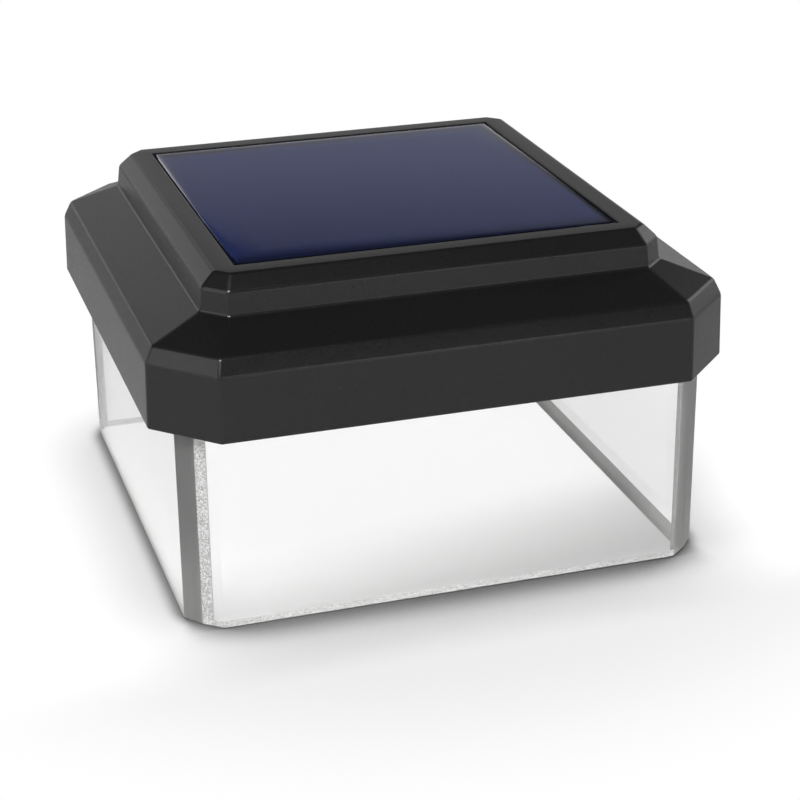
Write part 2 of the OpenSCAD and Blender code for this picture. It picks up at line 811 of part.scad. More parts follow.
// A small diode lying on the board, on two legs that turn down into it
module diode() {
  leg_x = diode_l / 2 + leg_bend;
  half = diode_leg / 2;
  leg_top = diode_d / 2 + half;
  translate([diode_mid.x, diode_mid.y, board_top]) {
    color("#2a2a2c")
      rod_x(-diode_l / 2, diode_l / 2, 0, diode_d / 2, diode_d, hidden_fn);
    color("#c0c2c4") {
      block(-leg_x, leg_x, -half, half, leg_top - diode_leg, leg_top);
      for (s = [-1, 1])
        block(s * leg_x - half, s * leg_x + half, -half, half, 0, leg_top);
    }
  }
}

// ---- switch ----

module lever_slot(z0, z1) {
  half_l = (switch_travel + lever_l) / 2 + lever_gap;
  half_w = lever_w / 2 + lever_gap;
  block(-half_l, half_l, switch_y - half_w, switch_y + half_w, z0, z1);
}

// Sheet metal can, hollow, with a slot in its underside for the lever
module switch_body() {
  color("#b5b7b9")
    difference() {
      block(-switch_l / 2, switch_l / 2,
            switch_y - switch_w / 2, switch_y + switch_w / 2, plate_top, board_z);
      block(-switch_l / 2 + switch_wall, switch_l / 2 - switch_wall,
            switch_y - switch_w / 2 + switch_wall, switch_y + switch_w / 2 - switch_wall,
            plate_top + switch_wall, board_z - switch_wall);
      lever_slot(plate_top - 1, plate_top + 1);
    }
}

// Lever below, and the carriage that it moves in the can
module switch_lever() {
  carriage_half_l = lever_l / 2 + carriage_out;
  carriage_half_w = switch_w / 2 - switch_wall - carriage_side;
  color("#1a1a1b") {
    block(lever_x - lever_l / 2, lever_x + lever_l / 2, switch_y - lever_w / 2, switch_y + lever_w / 2,
          plate_z - lever_out, carriage_z + eps);
    block(lever_x - carriage_half_l, lever_x + carriage_half_l, switch_y - carriage_half_w,
          switch_y + carriage_half_w, carriage_z, carriage_z + carriage_h);
  }
}

// ---- battery ----

module battery_cell() {
  r = battery_d / 2;
  foot_bevel = 0.6;
  neck_bevel = 0.8;
  body = battery_len - button_h;
  color("#3f8f5a")
    translate([battery_foot_x, bay_y, battery_z])
      rotate([0, 90, 0])
        rotate_extrude($fn = 64)
          polygon([[0, 0], [r - foot_bevel, 0], [r, foot_bevel],
                   [r, body - neck_bevel], [r - neck_bevel, body], [button_d / 2, body],
                   [button_d / 2, battery_len], [0, battery_len]]);
}

spring_pitch = (spring_len - spring_wire) / spring_turns;
spring_r = (spring_d - spring_wire) / 2;
spring_rings = 8;
spring_points = [
  for (i = [0:spring_turns * spring_rings])
    [battery_foot_x - spring_len + spring_wire / 2 + spring_pitch * i / spring_rings,
     bay_y + spring_r * cos(360 * i / spring_rings),
     battery_z + spring_r * sin(360 * i / spring_rings)]
];
spring_least_gap = min([
  for (i = [0:len(spring_points) - 1]) for (k = [i + spring_rings / 2:len(spring_points) - 1])
    norm(spring_points[i] - spring_points[k])
]) - spring_wire;
echo("least gap between the spring's coils", spring_least_gap);

module battery_spring() {
  color("#c9cbcd")
    tube(spring_points, spring_wire, 6);
}

module contact(side) {
  x_in = side * (bay_end - contact_t);
  x_out = side * bay_end;
  x_tab = side * (bay_end + bay_wall + solder_tab);
  color("#c4c6c8") {
    block(min(x_in, x_out), max(x_in, x_out), bay_y - contact_w / 2, bay_y + contact_w / 2,
          battery_z - contact_h / 2, battery_z + contact_h / 2);
    block(min(x_in, x_tab), max(x_in, x_tab),
          bay_y - tab_w / 2, bay_y + tab_w / 2, tab_z, tab_z + contact_t);
  }
}

module contact_positive() {
  contact(1);
}

module contact_negative() {
  contact(-1);
}

// ---- battery door ----

module battery_door() {
  color("#d4d4d1")
    difference() {
      union() {
        block(-door_half_l, door_half_l, door_free_y, door_edge_y, door_z, door_top);
        for (i = [1:2:knuckle_count - 1]) {
          rod_x(knuckle_x(i), knuckle_x(i) + knuckle_l, hinge_y, hinge_z, knuckle_d);
          block(knuckle_x(i), knuckle_x(i) + knuckle_l, door_edge_y - eps, hinge_y, door_z, door_top);
        }
        for (s = [-1, 1])
          block(s * bay_end / 2 - door_tab_l / 2, s * bay_end / 2 + door_tab_l / 2,
                bay_y - bay_half_w + door_tab_gap, bay_y - bay_half_w + door_tab_gap + door_tab_t,
                door_top - eps, door_top + door_tab_h);
        block(-lip_l / 2, lip_l / 2, door_free_y - lip_w, door_free_y + eps, door_z, door_z + lip_t);
        for (i = [0:grip_count - 1])
          translate([0, door_free_y + 1 + i * grip_pitch, 0])
            block(-lip_l / 2, lip_l / 2, 0, grip_w, door_z - grip_h, door_z + eps);
      }
      rod_x(knuckle_x(0), knuckle_x(knuckle_count - 1) + knuckle_l, hinge_y, hinge_z, pin_d + 2 * pin_gap);
    }
}

module door_pin() {
  color("#b4b6b8")
    rod_x(knuckle_x(0) + pin_end, knuckle_x(knuckle_count - 1) + knuckle_l, hinge_y, hinge_z, pin_d);
}

// ---- leads ----

module panel_lead_red() {
  color("#b3261e")
    lead(panel_red_route);
}

module panel_lead_black() {
  color("#222222")
    lead(panel_black_route);
}

module battery_lead_red() {
  color("#b3261e")
    lead(battery_red_route);
}

module battery_lead_black() {
  color("#222222")
    lead(battery_black_route);
}

module lamp_lead_red() {
  color("#b3261e")
    lead(lamp_red_route);
}

module lamp_lead_black() {
  color("#222222")
    lead(lamp_black_route);
}

cap_shell();
panel_cover();
solar_cells();
panel_board();
panel_tape();
lens_box();
base_plate();
base_gasket();
lens_screws();
lamp_board();
lamps();
driver_board();
driver_screws();
driver_chip();
inductor();
capacitor();
diode();
switch_body();
switch_lever();
battery_cell();
battery_spring();
contact_positive();
contact_negative();
battery_door();
door_pin();
panel_lead_red();
panel_lead_black();
battery_lead_red();
battery_lead_black();
lamp_lead_red();
lamp_lead_black();
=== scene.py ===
# Solar cap light for a square deck post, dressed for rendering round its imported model.
# Settings are in millimetres, meshes in metres.
import math

import bmesh
import bpy
from mathutils import Matrix, Vector


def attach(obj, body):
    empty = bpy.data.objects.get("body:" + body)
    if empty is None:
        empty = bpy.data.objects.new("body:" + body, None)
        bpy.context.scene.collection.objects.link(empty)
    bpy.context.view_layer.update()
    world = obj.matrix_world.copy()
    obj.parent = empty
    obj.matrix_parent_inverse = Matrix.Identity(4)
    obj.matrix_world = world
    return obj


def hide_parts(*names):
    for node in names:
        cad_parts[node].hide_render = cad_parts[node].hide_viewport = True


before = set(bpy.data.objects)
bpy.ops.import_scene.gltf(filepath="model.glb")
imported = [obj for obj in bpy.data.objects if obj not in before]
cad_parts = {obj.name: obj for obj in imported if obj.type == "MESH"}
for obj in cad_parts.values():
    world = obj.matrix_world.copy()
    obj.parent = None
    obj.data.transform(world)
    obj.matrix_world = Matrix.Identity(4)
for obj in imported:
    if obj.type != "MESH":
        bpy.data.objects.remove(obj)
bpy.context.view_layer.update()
scene = bpy.context.scene
mm = 0.001
print("frame loaded:", len(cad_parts), "nodes")


cameraView = {"azimuth": -17.31, "elevation": 23.13, "roll": -0.57, "distance": 397.27,
              "aimHeight": 63.0, "aimRight": 5.22, "aimUp": -41.21, "focal": 92.815, "sensor": 36.0}


def buildCamera(azimuth, elevation, roll, distance, aimHeight, aimRight, aimUp, focal, sensor):
    turn, lift, lean = (math.radians(angle) for angle in (azimuth, elevation, roll))
    back = Vector((math.sin(turn) * math.cos(lift), -math.cos(turn) * math.cos(lift), math.sin(lift)))
    right = (-back).cross(Vector((0, 0, 1))).normalized()
    up = right.cross(-back)
    across = math.cos(lean) * right + math.sin(lean) * up
    upward = -math.sin(lean) * right + math.cos(lean) * up
    place = back * distance + Vector((0, 0, aimHeight))
    place += across * aimRight + upward * aimUp
    data = bpy.data.cameras.new("camera")
    data.lens, data.sensor_width = focal, sensor
    data.clip_start, data.clip_end = 0.01, 50
    camera = bpy.data.objects.new("camera", data)
    scene.collection.objects.link(camera)
    axes = Matrix((across, upward, back)).transposed()
    camera.matrix_world = Matrix.Translation(place * mm) @ axes.to_4x4()
    scene.camera = camera


buildCamera(**cameraView)
print("camera placed")


def srgb(code):
    values = [int(code[i:i + 2], 16) / 255 for i in (1, 3, 5)]
    return tuple(v / 12.92 if v <= 0.04045 else ((v + 0.055) / 1.055) ** 2.4 for v in values) + (1,)


def feed(tree, node, inputs):
    # inputs are a dictionary, or a list in the order of the node's own sockets. Each is a value, a
    # socket to link from, or a node, which gives its first output in use.
    for key, value in inputs.items() if isinstance(inputs, dict) else enumerate(inputs):
        if isinstance(value, bpy.types.Node):
            value = next(socket for socket in value.outputs if socket.enabled)
        if isinstance(value, bpy.types.NodeSocket):
            tree.links.new(value, node.inputs[key])
        else:
            node.inputs[key].default_value = value


def addNode(tree, kind, inputs=(), **settings):
    node = tree.nodes.new("ShaderNode" + kind)
    for key, value in settings.items():
        setattr(node, key, value)
    feed(tree, node, inputs)
    return node


def newMaterial(name, inputs):
    material = bpy.data.materials.new(name)
    material.use_nodes = True
    tree = material.node_tree
    tree.nodes.clear()
    shader = addNode(tree, "BsdfPrincipled", inputs)
    addNode(tree, "OutputMaterial", [shader])
    return material, tree, shader


def deselectAll():
    if bpy.context.object and bpy.context.object.mode != "OBJECT":
        bpy.ops.object.mode_set(mode="OBJECT")
    bpy.ops.object.select_all(action="DESELECT")


def activate(piece):
    deselectAll()
    piece.select_set(True)
    bpy.context.view_layer.objects.active = piece


def named(name):
    piece = bpy.context.object
    piece.name = piece.data.name = name
    bpy.ops.object.transform_apply(location=True, rotation=True, scale=True)
    return piece


def addBlock(name, low, high):
    deselectAll()
    middle = [(a + b) / 2 * mm for a, b in zip(low, high)]
    bpy.ops.mesh.primitive_cube_add(size=1, location=middle)
    bpy.context.object.scale = [(b - a) * mm for a, b in zip(low, high)]
    return named(name)


def addRod(name, low, high, radius, sides=48):
    deselectAll()
    low, high = Vector(low) * mm, Vector(high) * mm
    bpy.ops.mesh.primitive_cone_add(vertices=sides, radius1=radius * mm, radius2=radius * mm,
                                    depth=(high - low).length, location=(low + high) / 2)
    bpy.context.object.rotation_euler = (high - low).to_track_quat("Z", "Y").to_euler()
    return named(name)


def editPiece(piece, kind="FACE"):
    activate(piece)
    bpy.ops.object.mode_set(mode="EDIT")
    bpy.ops.mesh.select_mode(type=kind)


def pickAll():
    bpy.ops.mesh.select_all(action="SELECT")


def pick(kind, test):
    # selects, in edit mode, what the test says yes to
    bpy.ops.mesh.select_mode(type=kind)
    bpy.ops.mesh.select_all(action="DESELECT")
    data = bpy.context.object.data
    mesh = bmesh.from_edit_mesh(data)
    for part in {"VERT": mesh.verts, "EDGE": mesh.edges, "FACE": mesh.faces}[kind]:
        if test(part):
            part.select_set(True)
    mesh.select_flush_mode()
    bmesh.update_edit_mesh(data)


def edgeMiddle(edge):
    return (edge.verts[0].co + edge.verts[1].co) / (2 * mm)


def edgeRun(edge):
    return (edge.verts[1].co - edge.verts[0].co).normalized()


def isUpright(edge):
    return abs(edgeRun(edge).z) > 0.9


def isLevel(edge):
    return abs(edgeRun(edge).z) < 0.1


def anyEdge(edge):
    return True


def faceMiddle(face):
    return face.calc_center_median() / mm


def facesUp(face):
    return face.normal.z > 0.99


def insetFaces(width, height):
    bpy.ops.mesh.inset(thickness=width * mm, depth=height * mm, use_even_offset=True)


def bevelEdges(piece, test, width, segments):
    editPiece(piece, "EDGE")
    pick("EDGE", test)
    bpy.ops.mesh.bevel(offset=width * mm, offset_type="OFFSET", segments=segments, profile=0.5,
                       affect="EDGES", clamp_overlap=True)
    deselectAll()


def addOctagon(name, half, cut, low, high):
    piece = addBlock(name, (-half, -half, low), (half, half, high))
    bevelEdges(piece, isUpright, cut, 1)
    return piece


def applyModifier(piece, kind, settings):
    modifier = piece.modifiers.new(kind.lower(), kind)
    for key, value in settings.items():
        setattr(modifier, key, value)
    activate(piece)
    bpy.ops.object.modifier_apply(modifier=modifier.name)


def combine(piece, tool, operation="DIFFERENCE"):
    applyModifier(piece, "BOOLEAN", {"object": tool, "operation": operation, "solver": "EXACT"})
    bpy.data.objects.remove(tool)


def joinPieces(name, pieces):
    deselectAll()
    for piece in pieces:
        piece.select_set(True)
    bpy.context.view_layer.objects.active = pieces[0]
    if len(pieces) > 1:
        bpy.ops.object.join()
    return named(name)


def smoothPiece(piece, angle):
    activate(piece)
    bpy.ops.object.shade_smooth_by_angle(angle=math.radians(angle))
    applyModifier(piece, "WEIGHTED_NORMAL", {"keep_sharp": True, "weight": 80})


def turned(name, start, toward, profile, sides=40):
    # a lathe form: each ring's (height, radius) counts from start towards a direction
    deselectAll()
    height, radius = profile[0]
    bpy.ops.mesh.primitive_circle_add(vertices=sides, radius=radius * mm, fill_type="NGON")
    piece = bpy.context.object
    editPiece(piece)
    pickAll()
    for nextHeight, nextRadius in profile[1:]:
        move = (0, 0, (nextHeight - height) * mm)
        bpy.ops.mesh.extrude_region_move(TRANSFORM_OT_translate={"value": move})
        scale = nextRadius / radius
        bpy.ops.transform.resize(value=(scale, scale, 1), center_override=(0, 0, 0))
        height, radius = nextHeight, nextRadius
    pickAll()
    bpy.ops.mesh.normals_make_consistent(inside=False)
    bpy.ops.object.mode_set(mode="OBJECT")
    turn = Vector(toward).to_track_quat("Z", "Y")
    piece.rotation_euler = turn.to_euler()
    piece.location = (Vector(start) + turn @ Vector((0, 0, profile[0][0]))) * mm
    return named(name)


def roundedRod(radius, length, ends, middle=()):
    # profile of a rod whose two ends step in, each step a (height, depth)
    return ([(height, radius - depth) for height, depth in ends] + [(height, radius) for height in middle]
            + [(length - height, radius - depth) for height, depth in reversed(ends)])


def wire(name, points, radius, resolution=3):
    # a round wire along points, with closed ends
    deselectAll()
    data = bpy.data.curves.new(name, "CURVE")
    data.dimensions = "3D"
    data.bevel_depth, data.bevel_resolution, data.use_fill_caps = radius * mm, resolution, True
    line = data.splines.new("POLY")
    line.points.add(len(points) - 1)
    for spot, point in zip(line.points, points):
        spot.co = (*(Vector(point) * mm), 1)
    piece = bpy.data.objects.new(name, data)
    scene.collection.objects.link(piece)
    activate(piece)
    bpy.ops.object.convert(target="MESH")
    piece = bpy.context.object
    editPiece(piece)
    pickAll()
    bpy.ops.mesh.remove_doubles(threshold=0.005 * mm)
    bpy.ops.mesh.normals_make_consistent(inside=False)
    deselectAll()
    return piece


def spread(name, piece, moves):
    # one copy for each move, (x, y, z, turn in degrees), each with its own mesh
    pieces = []
    for x, y, z, turn in moves:
        twin = piece.copy()
        twin.data = piece.data.copy()
        scene.collection.objects.link(twin)
        turning = Matrix.Rotation(math.radians(turn), 4, "Z")
        twin.matrix_world = Matrix.Translation(Vector((x, y, z)) * mm) @ turning
        activate(twin)
        bpy.ops.object.transform_apply(location=True, rotation=True, scale=True)
        pieces.append(twin)
    bpy.data.objects.remove(piece)
    return joinPieces(name, pieces)


def paint(piece, materials, tests=()):
    # the first material all over, then each other one where its test says yes
    for material in materials:
        piece.data.materials.append(material)
    for index, test in enumerate(tests):
        editPiece(piece)
        pick("FACE", test)
        piece.active_material_index = index + 1
        bpy.ops.object.material_slot_assign()
    deselectAll()


def finishPiece(piece, replaced, materials=(), body="light", angle=30):
    smoothPiece(piece, angle)
    for material in materials:
        piece.data.materials.append(material)
    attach(piece, body)
    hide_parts(replaced)
    print("piece made:", piece.name, len(piece.data.polygons), "faces")


smoothly, inColour = {"interpolation_type": "SMOOTHSTEP"}, {"data_type": "RGBA"}


def objectPlace(tree, stretch=(1, 1, 1)):
    coordinates = addNode(tree, "TexCoord")
    return addNode(tree, "Mapping", {"Vector": coordinates.outputs["Object"], "Scale": stretch})


def perMetre(size):
    # texture scale at which a pattern repeats about every size millimetres
    return 1 / (size * mm)


def mottle(tree, shader, first, second, size, stretch=(1, 1, 1)):
    # colour that drifts between two tones over a size in millimetres
    noise = addNode(tree, "TexNoise", {
        "Vector": objectPlace(tree, stretch), "Scale": perMetre(size), "Detail": 2.0})
    colour = addNode(tree, "Mix", {"Factor": noise, "A": srgb(first), "B": srgb(second)}, **inColour)
    feed(tree, shader, {"Base Color": colour})
    return colour


def grain(tree, shader, size, smooth, rough, depth, stretch=(1, 1, 1), strength=0.5):
    # one noise of a size in millimetres drives roughness and a bump of a depth in millimetres
    noise = addNode(tree, "TexNoise", {
        "Vector": objectPlace(tree, stretch), "Scale": perMetre(size), "Detail": 3.0})
    level = addNode(tree, "MapRange", [noise, 0.3, 0.7, smooth, rough])
    bump = addNode(tree, "Bump", {"Height": noise, "Strength": strength, "Distance": depth * mm})
    feed(tree, shader, {"Roughness": level, "Normal": bump})


def textured(name, inputs, tones, marks):
    # a material with the tones that mottle takes and the marks that grain takes
    material, tree, shader = newMaterial(name, inputs)
    mottle(tree, shader, *tones)
    grain(tree, shader, *marks)
    return material


def passLamps(material, tint):
    # lets the lamps through clear plastic without bending, so that what is inside is lit
    tree = material.node_tree
    path = addNode(tree, "LightPath").outputs["Is Shadow Ray"]
    clear = addNode(tree, "BsdfTransparent", {"Color": srgb(tint)})
    mix = addNode(tree, "MixShader", [path, tree.nodes["Principled BSDF"], clear])
    feed(tree, tree.nodes["Material Output"], [mix])
    return material


def clearAcrylic():
    # Polished moulded acrylic: water clear, IOR 1.49, with a faint long flow ripple
    material, tree, shader = newMaterial("polished acrylic", {
        "Base Color": srgb("#fbfbfb"), "IOR": 1.49, "Roughness": 0.0, "Transmission Weight": 1.0})
    ripple = addNode(tree, "TexNoise", {
        "Vector": objectPlace(tree, (1, 1, 0.4)), "Scale": perMetre(22), "Detail": 0.0})
    bump = addNode(tree, "Bump", {"Height": ripple, "Strength": 0.05, "Distance": 0.2 * mm})
    feed(tree, shader, {"Normal": bump})
    return passLamps(material, "#f5f5f5")


def sparklingAcrylic():
    # Sawn edge of the acrylic under flame polish: bright broken facets that sparkle, partly by their bump and
    # partly by painted glints, each facet's colour set between grey and white. The saw marks are drawn at
    # 0.26 mm, coarser than real ones, so that they show.
    material, tree, shader = newMaterial("sawn acrylic with painted glints", {
        "IOR": 1.49, "Roughness": 0.25, "Transmission Weight": 0.3})
    facets = addNode(tree, "TexVoronoi", {"Vector": objectPlace(tree), "Scale": perMetre(0.26)})
    facetGlint = addNode(tree, "SeparateColor", [facets.outputs["Color"]])
    # painted glints: each facet's colour between grey and white
    colour = addNode(tree, "Mix", {
        "Factor": facetGlint.outputs[0], "A": srgb("#b0b0ae"), "B": srgb("#ffffff")}, **inColour)
    bump = addNode(tree, "Bump", {"Height": facetGlint.outputs[1], "Strength": 0.8, "Distance": 0.2 * mm})
    feed(tree, shader, {"Base Color": colour, "Normal": bump})
    return passLamps(material, "#c8c8c8")


def coverResin():
    # Clear epoxy poured over the cells: glossy, domed by its meniscus, IOR 1.5, a little blue in its
    # body and its gloss
    material, _, _ = newMaterial("clear epoxy", {
        "Base Color": srgb("#dfe3fa"), "IOR": 1.5, "Roughness": 0.0, "Transmission Weight": 1.0,
        "Specular Tint": srgb("#c8d0ff")})
    return passLamps(material, "#d6dcf8")


def paintFrontShade(tree, shader, colour):
    # Painted shade: the colour falls to near black over the last millimetres before the panel's front edge.
    # It is drawn here because the shallow dome of the cover doesn't make that edge dark enough by itself.
    edge = {"from": -35.6, "to": -28.0, "low": 0.12}
    axes = addNode(tree, "SeparateXYZ", [objectPlace(tree)])
    fall = addNode(tree, "MapRange", [
        axes.outputs["Y"], edge["from"] * mm, edge["to"] * mm, edge["low"]], **smoothly)
    darker = addNode(tree, "Mix", {"Factor": 1.0, "A": colour, "B": fall}, blend_type="MULTIPLY", **inColour)
    feed(tree, shader, {"Base Color": darker})


def siliconCells():
    # Monocrystalline silicon with its blue nitride film and printed silver fingers, which are drawn
    # 0.1 mm wide and every 2.1 mm, wider and further apart than real ones, so that they show
    pitch, width, show = 2.1, 0.1, 0.25
    material, tree, shader = newMaterial("nitride coated silicon", {"Metallic": 0.985, "Roughness": 0.1})
    axes = addNode(tree, "SeparateXYZ", [addNode(tree, "TexCoord").outputs["Object"]])
    wave = addNode(tree, "Math", [axes.outputs["Y"], pitch * mm / 2], operation="PINGPONG")
    line = addNode(tree, "Math", [wave, width / 2 * mm], operation="LESS_THAN")
    patches = addNode(tree, "TexNoise", {
        "Vector": objectPlace(tree), "Scale": perMetre(26), "Detail": 1.0})
    film = addNode(tree, "Mix", {"Factor": patches, "A": srgb("#485a9b"), "B": srgb("#4f61a6")}, **inColour)
    faint = addNode(tree, "Math", [line, show], operation="MULTIPLY")
    colour = addNode(tree, "Mix", {"Factor": faint, "A": film, "B": srgb("#5f6689")}, **inColour)
    # painted shade towards the panel's front edge
    paintFrontShade(tree, shader, colour)
    return material


def darkLaminate():
    # Glass cloth laminate under the cells, printed blue black and as glossy as the film on them, with
    # the cloth's faint weave
    material, tree, shader = newMaterial("printed glass laminate", {"Metallic": 0.985, "Roughness": 0.1})
    weave = addNode(tree, "TexWave", {
        "Vector": objectPlace(tree), "Scale": perMetre(3.0), "Distortion": 0.4},
        wave_type="BANDS", bands_direction="DIAGONAL")
    colour = addNode(tree, "Mix", {
        "Factor": weave.outputs["Fac"], "A": srgb("#495b9c"), "B": srgb("#4e60a4")}, **inColour)
    # painted shade towards the panel's front edge
    paintFrontShade(tree, shader, colour)
    return material


def boardMask(name, mask, maskDark, track, line, pitch):
    # Glass laminate under glossy solder mask: copper tracks show as paler, raised lines.
    # Tracks of a width in millimetres repeat at a pitch and turn at a coarse noise's steps.
    material, tree, shader = newMaterial(name, {"IOR": 1.5})
    base = mottle(tree, shader, maskDark, mask, 8)
    bends = addNode(tree, "TexVoronoi", {
        "Vector": objectPlace(tree), "Scale": perMetre(pitch), "Randomness": 0.35},
        distance="CHEBYCHEV", feature="F1")
    rings = addNode(tree, "Math", [bends, 0.16], operation="PINGPONG")
    onTrack = addNode(tree, "MapRange", [rings, line, line * 0.6], **smoothly)
    colour = addNode(tree, "Mix", {"Factor": onTrack, "A": base, "B": srgb(track)}, **inColour)
    bump = addNode(tree, "Bump", {"Height": onTrack, "Strength": 0.6, "Distance": 0.04 * mm})
    sheen = addNode(tree, "MapRange", [onTrack, 0.0, 1.0, 0.28, 0.2])
    feed(tree, shader, {"Base Color": colour, "Normal": bump, "Roughness": sheen})
    return material


def shrinkSleeve(name, colour, colourDark, band, low, high):
    # Heat shrunk film: glossy, slightly uneven, with one plain printed band between two places
    material, tree, shader = newMaterial(name, {"IOR": 1.54})
    base = mottle(tree, shader, colourDark, colour, 9)
    axes = addNode(tree, "SeparateXYZ", [addNode(tree, "TexCoord").outputs["Object"]])
    after = addNode(tree, "Math", [axes.outputs["X"], low * mm], operation="GREATER_THAN")
    before = addNode(tree, "Math", [axes.outputs["X"], high * mm], operation="LESS_THAN")
    inside = addNode(tree, "Math", [after, before], operation="MULTIPLY")
    mix = addNode(tree, "Mix", {"Factor": inside, "A": base, "B": srgb(band)}, **inColour)
    feed(tree, shader, {"Base Color": mix})
    grain(tree, shader, 1.8, 0.16, 0.3, 0.03)
    return material


def wireSleeve(name, colour, colourDark):
    # Extruded PVC over stranded wire: smooth, soft gloss, faint waves from the strands
    return textured(name, {"IOR": 1.53}, (colourDark, colour, 5), (0.9, 0.3, 0.42, 0.02))


# Black ABS moulded against a spark-eroded steel face: satin, with a fine even grain that breaks the
# highlights into specks. The grain is drawn at 0.42 mm, coarser than the real 0.15 mm, so it shows.
blackAbs = textured("spark eroded ABS", {"IOR": 1.53, "Specular IOR Level": 0.4},
                    ("#141415", "#1a1a1b", 30), (0.42, 0.27, 0.35, 0.05, (1, 1, 1), 0.3))
# The acrylic where the mould was blasted: an even grey veil with faint upright streaks, the grey partly its
# frosting and partly painted shade
satin = passLamps(textured("blasted acrylic with painted shade", {"IOR": 1.49, "Transmission Weight": 0.7},
                           ("#9a9a99", "#acacab", 1.2, (1, 1, 0.1)), (0.4, 0.42, 0.55, 0.03)), "#b8b8b8")
# Side of the poured epoxy: dull and dark from the mould, so it mirrors nothing into the panel
dullEpoxy, _, _ = newMaterial("dull epoxy edge", {
    "Base Color": srgb("#16171c"), "IOR": 1.5, "Roughness": 0.6})
# White ABS from a satin mould: even, slightly warm, with a soft sheen
whiteAbs = textured("satin white ABS", {"IOR": 1.53},
                    ("#dfdeda", "#e7e6e2", 24), (0.5, 0.32, 0.46, 0.012))
# Grey acrylic foam tape: matt, with small closed cells at its cut sides
foam = textured("acrylic foam", {"IOR": 1.47}, ("#38393a", "#444546", 3), (0.35, 0.7, 0.95, 0.05))
# EPDM sponge cord pressed flat: dull near black with a dusty bloom
epdm = textured("pressed EPDM", {"IOR": 1.52}, ("#262728", "#333435", 6), (0.4, 0.6, 0.85, 0.03))
# Zinc plated and clear passivated steel: bright, a little blue, with fine drawing marks
zinc = textured("zinc plated steel", {"Metallic": 1.0},
                ("#b4b9bd", "#c6c6c2", 2.5), (0.3, 0.2, 0.38, 0.008, (1, 1, 3)))
# Nickel plated spring steel: warm bright metal, smooth from rolling
nickel = textured("nickel plated strip", {"Metallic": 1.0},
                  ("#c5c0b4", "#d2cec4", 4), (0.5, 0.14, 0.3, 0.006, (1, 4, 1)))
# Solder left to set: bright metal with a slightly wrinkled skin
solder = textured("set solder", {"Metallic": 1.0}, ("#bcbdbb", "#cfd0ce", 0.8), (0.4, 0.18, 0.42, 0.02))
# White PPA of a lamp's body: matt and very reflecting
housing = textured("moulded PPA", {"IOR": 1.55}, ("#e9e8e2", "#f2f1ec", 1.5), (0.15, 0.4, 0.55, 0.006))
# Silicone filled with yellow phosphor: smooth and wet looking, grainy just under its skin
phosphor = textured("phosphor silicone", {"IOR": 1.41, "Coat Weight": 0.5, "Coat Roughness": 0.1},
                    ("#e2bc39", "#f0d15c", 0.25), (0.4, 0.25, 0.4, 0.01))
# Filled black epoxy of a chip: spark eroded, matt, a little brown
chipEpoxy = textured("filled epoxy", {"IOR": 1.55}, ("#1c1b1b", "#242322", 1), (0.12, 0.55, 0.75, 0.01))
# Sintered ferrite: slate grey, fine pores
ferrite = textured("sintered ferrite", {"IOR": 2.2, "Specular IOR Level": 0.3},
                   ("#2e2f31", "#3b3c3f", 1.2), (0.2, 0.45, 0.7, 0.02))
# Enamelled winding wire: copper under clear amber enamel
copper = textured("enamelled copper", {"Metallic": 1.0, "Coat Weight": 0.7, "Coat Roughness": 0.08},
                  ("#a3552a", "#b96a38", 1), (0.6, 0.2, 0.36, 0.004))
# Drawn aluminium can: pale metal with fine lines
aluminium = textured("drawn aluminium", {"Metallic": 1.0},
                     ("#c9cacb", "#d6d7d8", 2), (0.25, 0.25, 0.42, 0.008, (6, 1, 1)))
# Glass filled black nylon: dull, with pale fibre flecks drawn at 0.3 mm
nylon = textured("glass filled nylon", {"IOR": 1.53},
                 ("#161617", "#262627", 0.3, (1, 1, 4)), (0.3, 0.4, 0.6, 0.015))
acrylic, sparkling, epoxy = clearAcrylic(), sparklingAcrylic(), coverResin()
silicon, laminate = siliconCells(), darkLaminate()
lampMask = boardMask("white solder mask", "#f0f0ea", "#e8e8e2", "#dcdcd4", 0.05, 9)
greenMask = boardMask("green solder mask", "#1e5a30", "#174a27", "#3a7f49", 0.05, 4)
canSleeve = shrinkSleeve("blue sleeve", "#27324f", "#1f2942", "#9aa2b4", 13.2, 14.2)
cellSleeve = shrinkSleeve("green sleeve", "#3f8f5a", "#34794b", "#dfe3df", 14.5, 21.5)
redSleeve = wireSleeve("red PVC", "#b3261e", "#9d1f18")
blackSleeve = wireSleeve("black PVC", "#242424", "#1b1b1b")
print("materials made")


capSettings = {
    "half": 54.0, "cut": 10.616, "bottom": 37.6,
    "steps": [(0.3, 12.0), (1.4, 3.0), (9.3, 3.7), (0.5, 4.2), (2.6, 2.5)],   # in, up
    "frame": 4.0, "pocketDepth": 3.6, "round": 0.45, "rimRound": 0.25,
    "wall": 2.0, "hollowSteps": [(0.3, 10.8), (1.4, 3.0), (9.3, 3.7), (0.5, 4.2), (1.8, 1.7)],
    "pocketHalf": 37.4, "pocketUnder": 57.8, "rib": (46.7, 48.3), "ribBottom": 46.2, "ribTop": 53.3,
    "boss": 3.2, "bossBottom": 43.0, "pilot": 1.35, "pilotTop": 53.1, "bossLine": 37.5,
    "leadHole": 3.0, "leadHoleY": -4.0, "leadHoleTop": 60.4, "lensHalf": 49.5, "lensCut": 6.0,
    "above": 64.0, "rimIn": 1.2, "sharp": 15,   # clear of the cap, its inner rim, least angle rounded
}


def steppedOctagon(name, half, cut, bottom, steps):
    # a thin octagonal block whose top face is inset and raised step by step, then the block is cut off
    piece = addOctagon(name, half, cut, bottom - 1, bottom)
    editPiece(piece)
    pick("FACE", facesUp)
    for width, height in steps:
        insetFaces(width, height)
    pickAll()
    bpy.ops.mesh.bisect(plane_co=(0, 0, bottom * mm), plane_no=(0, 0, 1), use_fill=True, clear_inner=True)
    deselectAll()
    return piece


def lensCutAt(half):
    # leg of the corner cut on an outline offset inwards from the clear box
    return capSettings["lensCut"] - (2 - math.sqrt(2)) * (capSettings["lensHalf"] - half)


def atCorners(line):
    return [(x * line, y * line) for x in (-1, 1) for y in (-1, 1)]


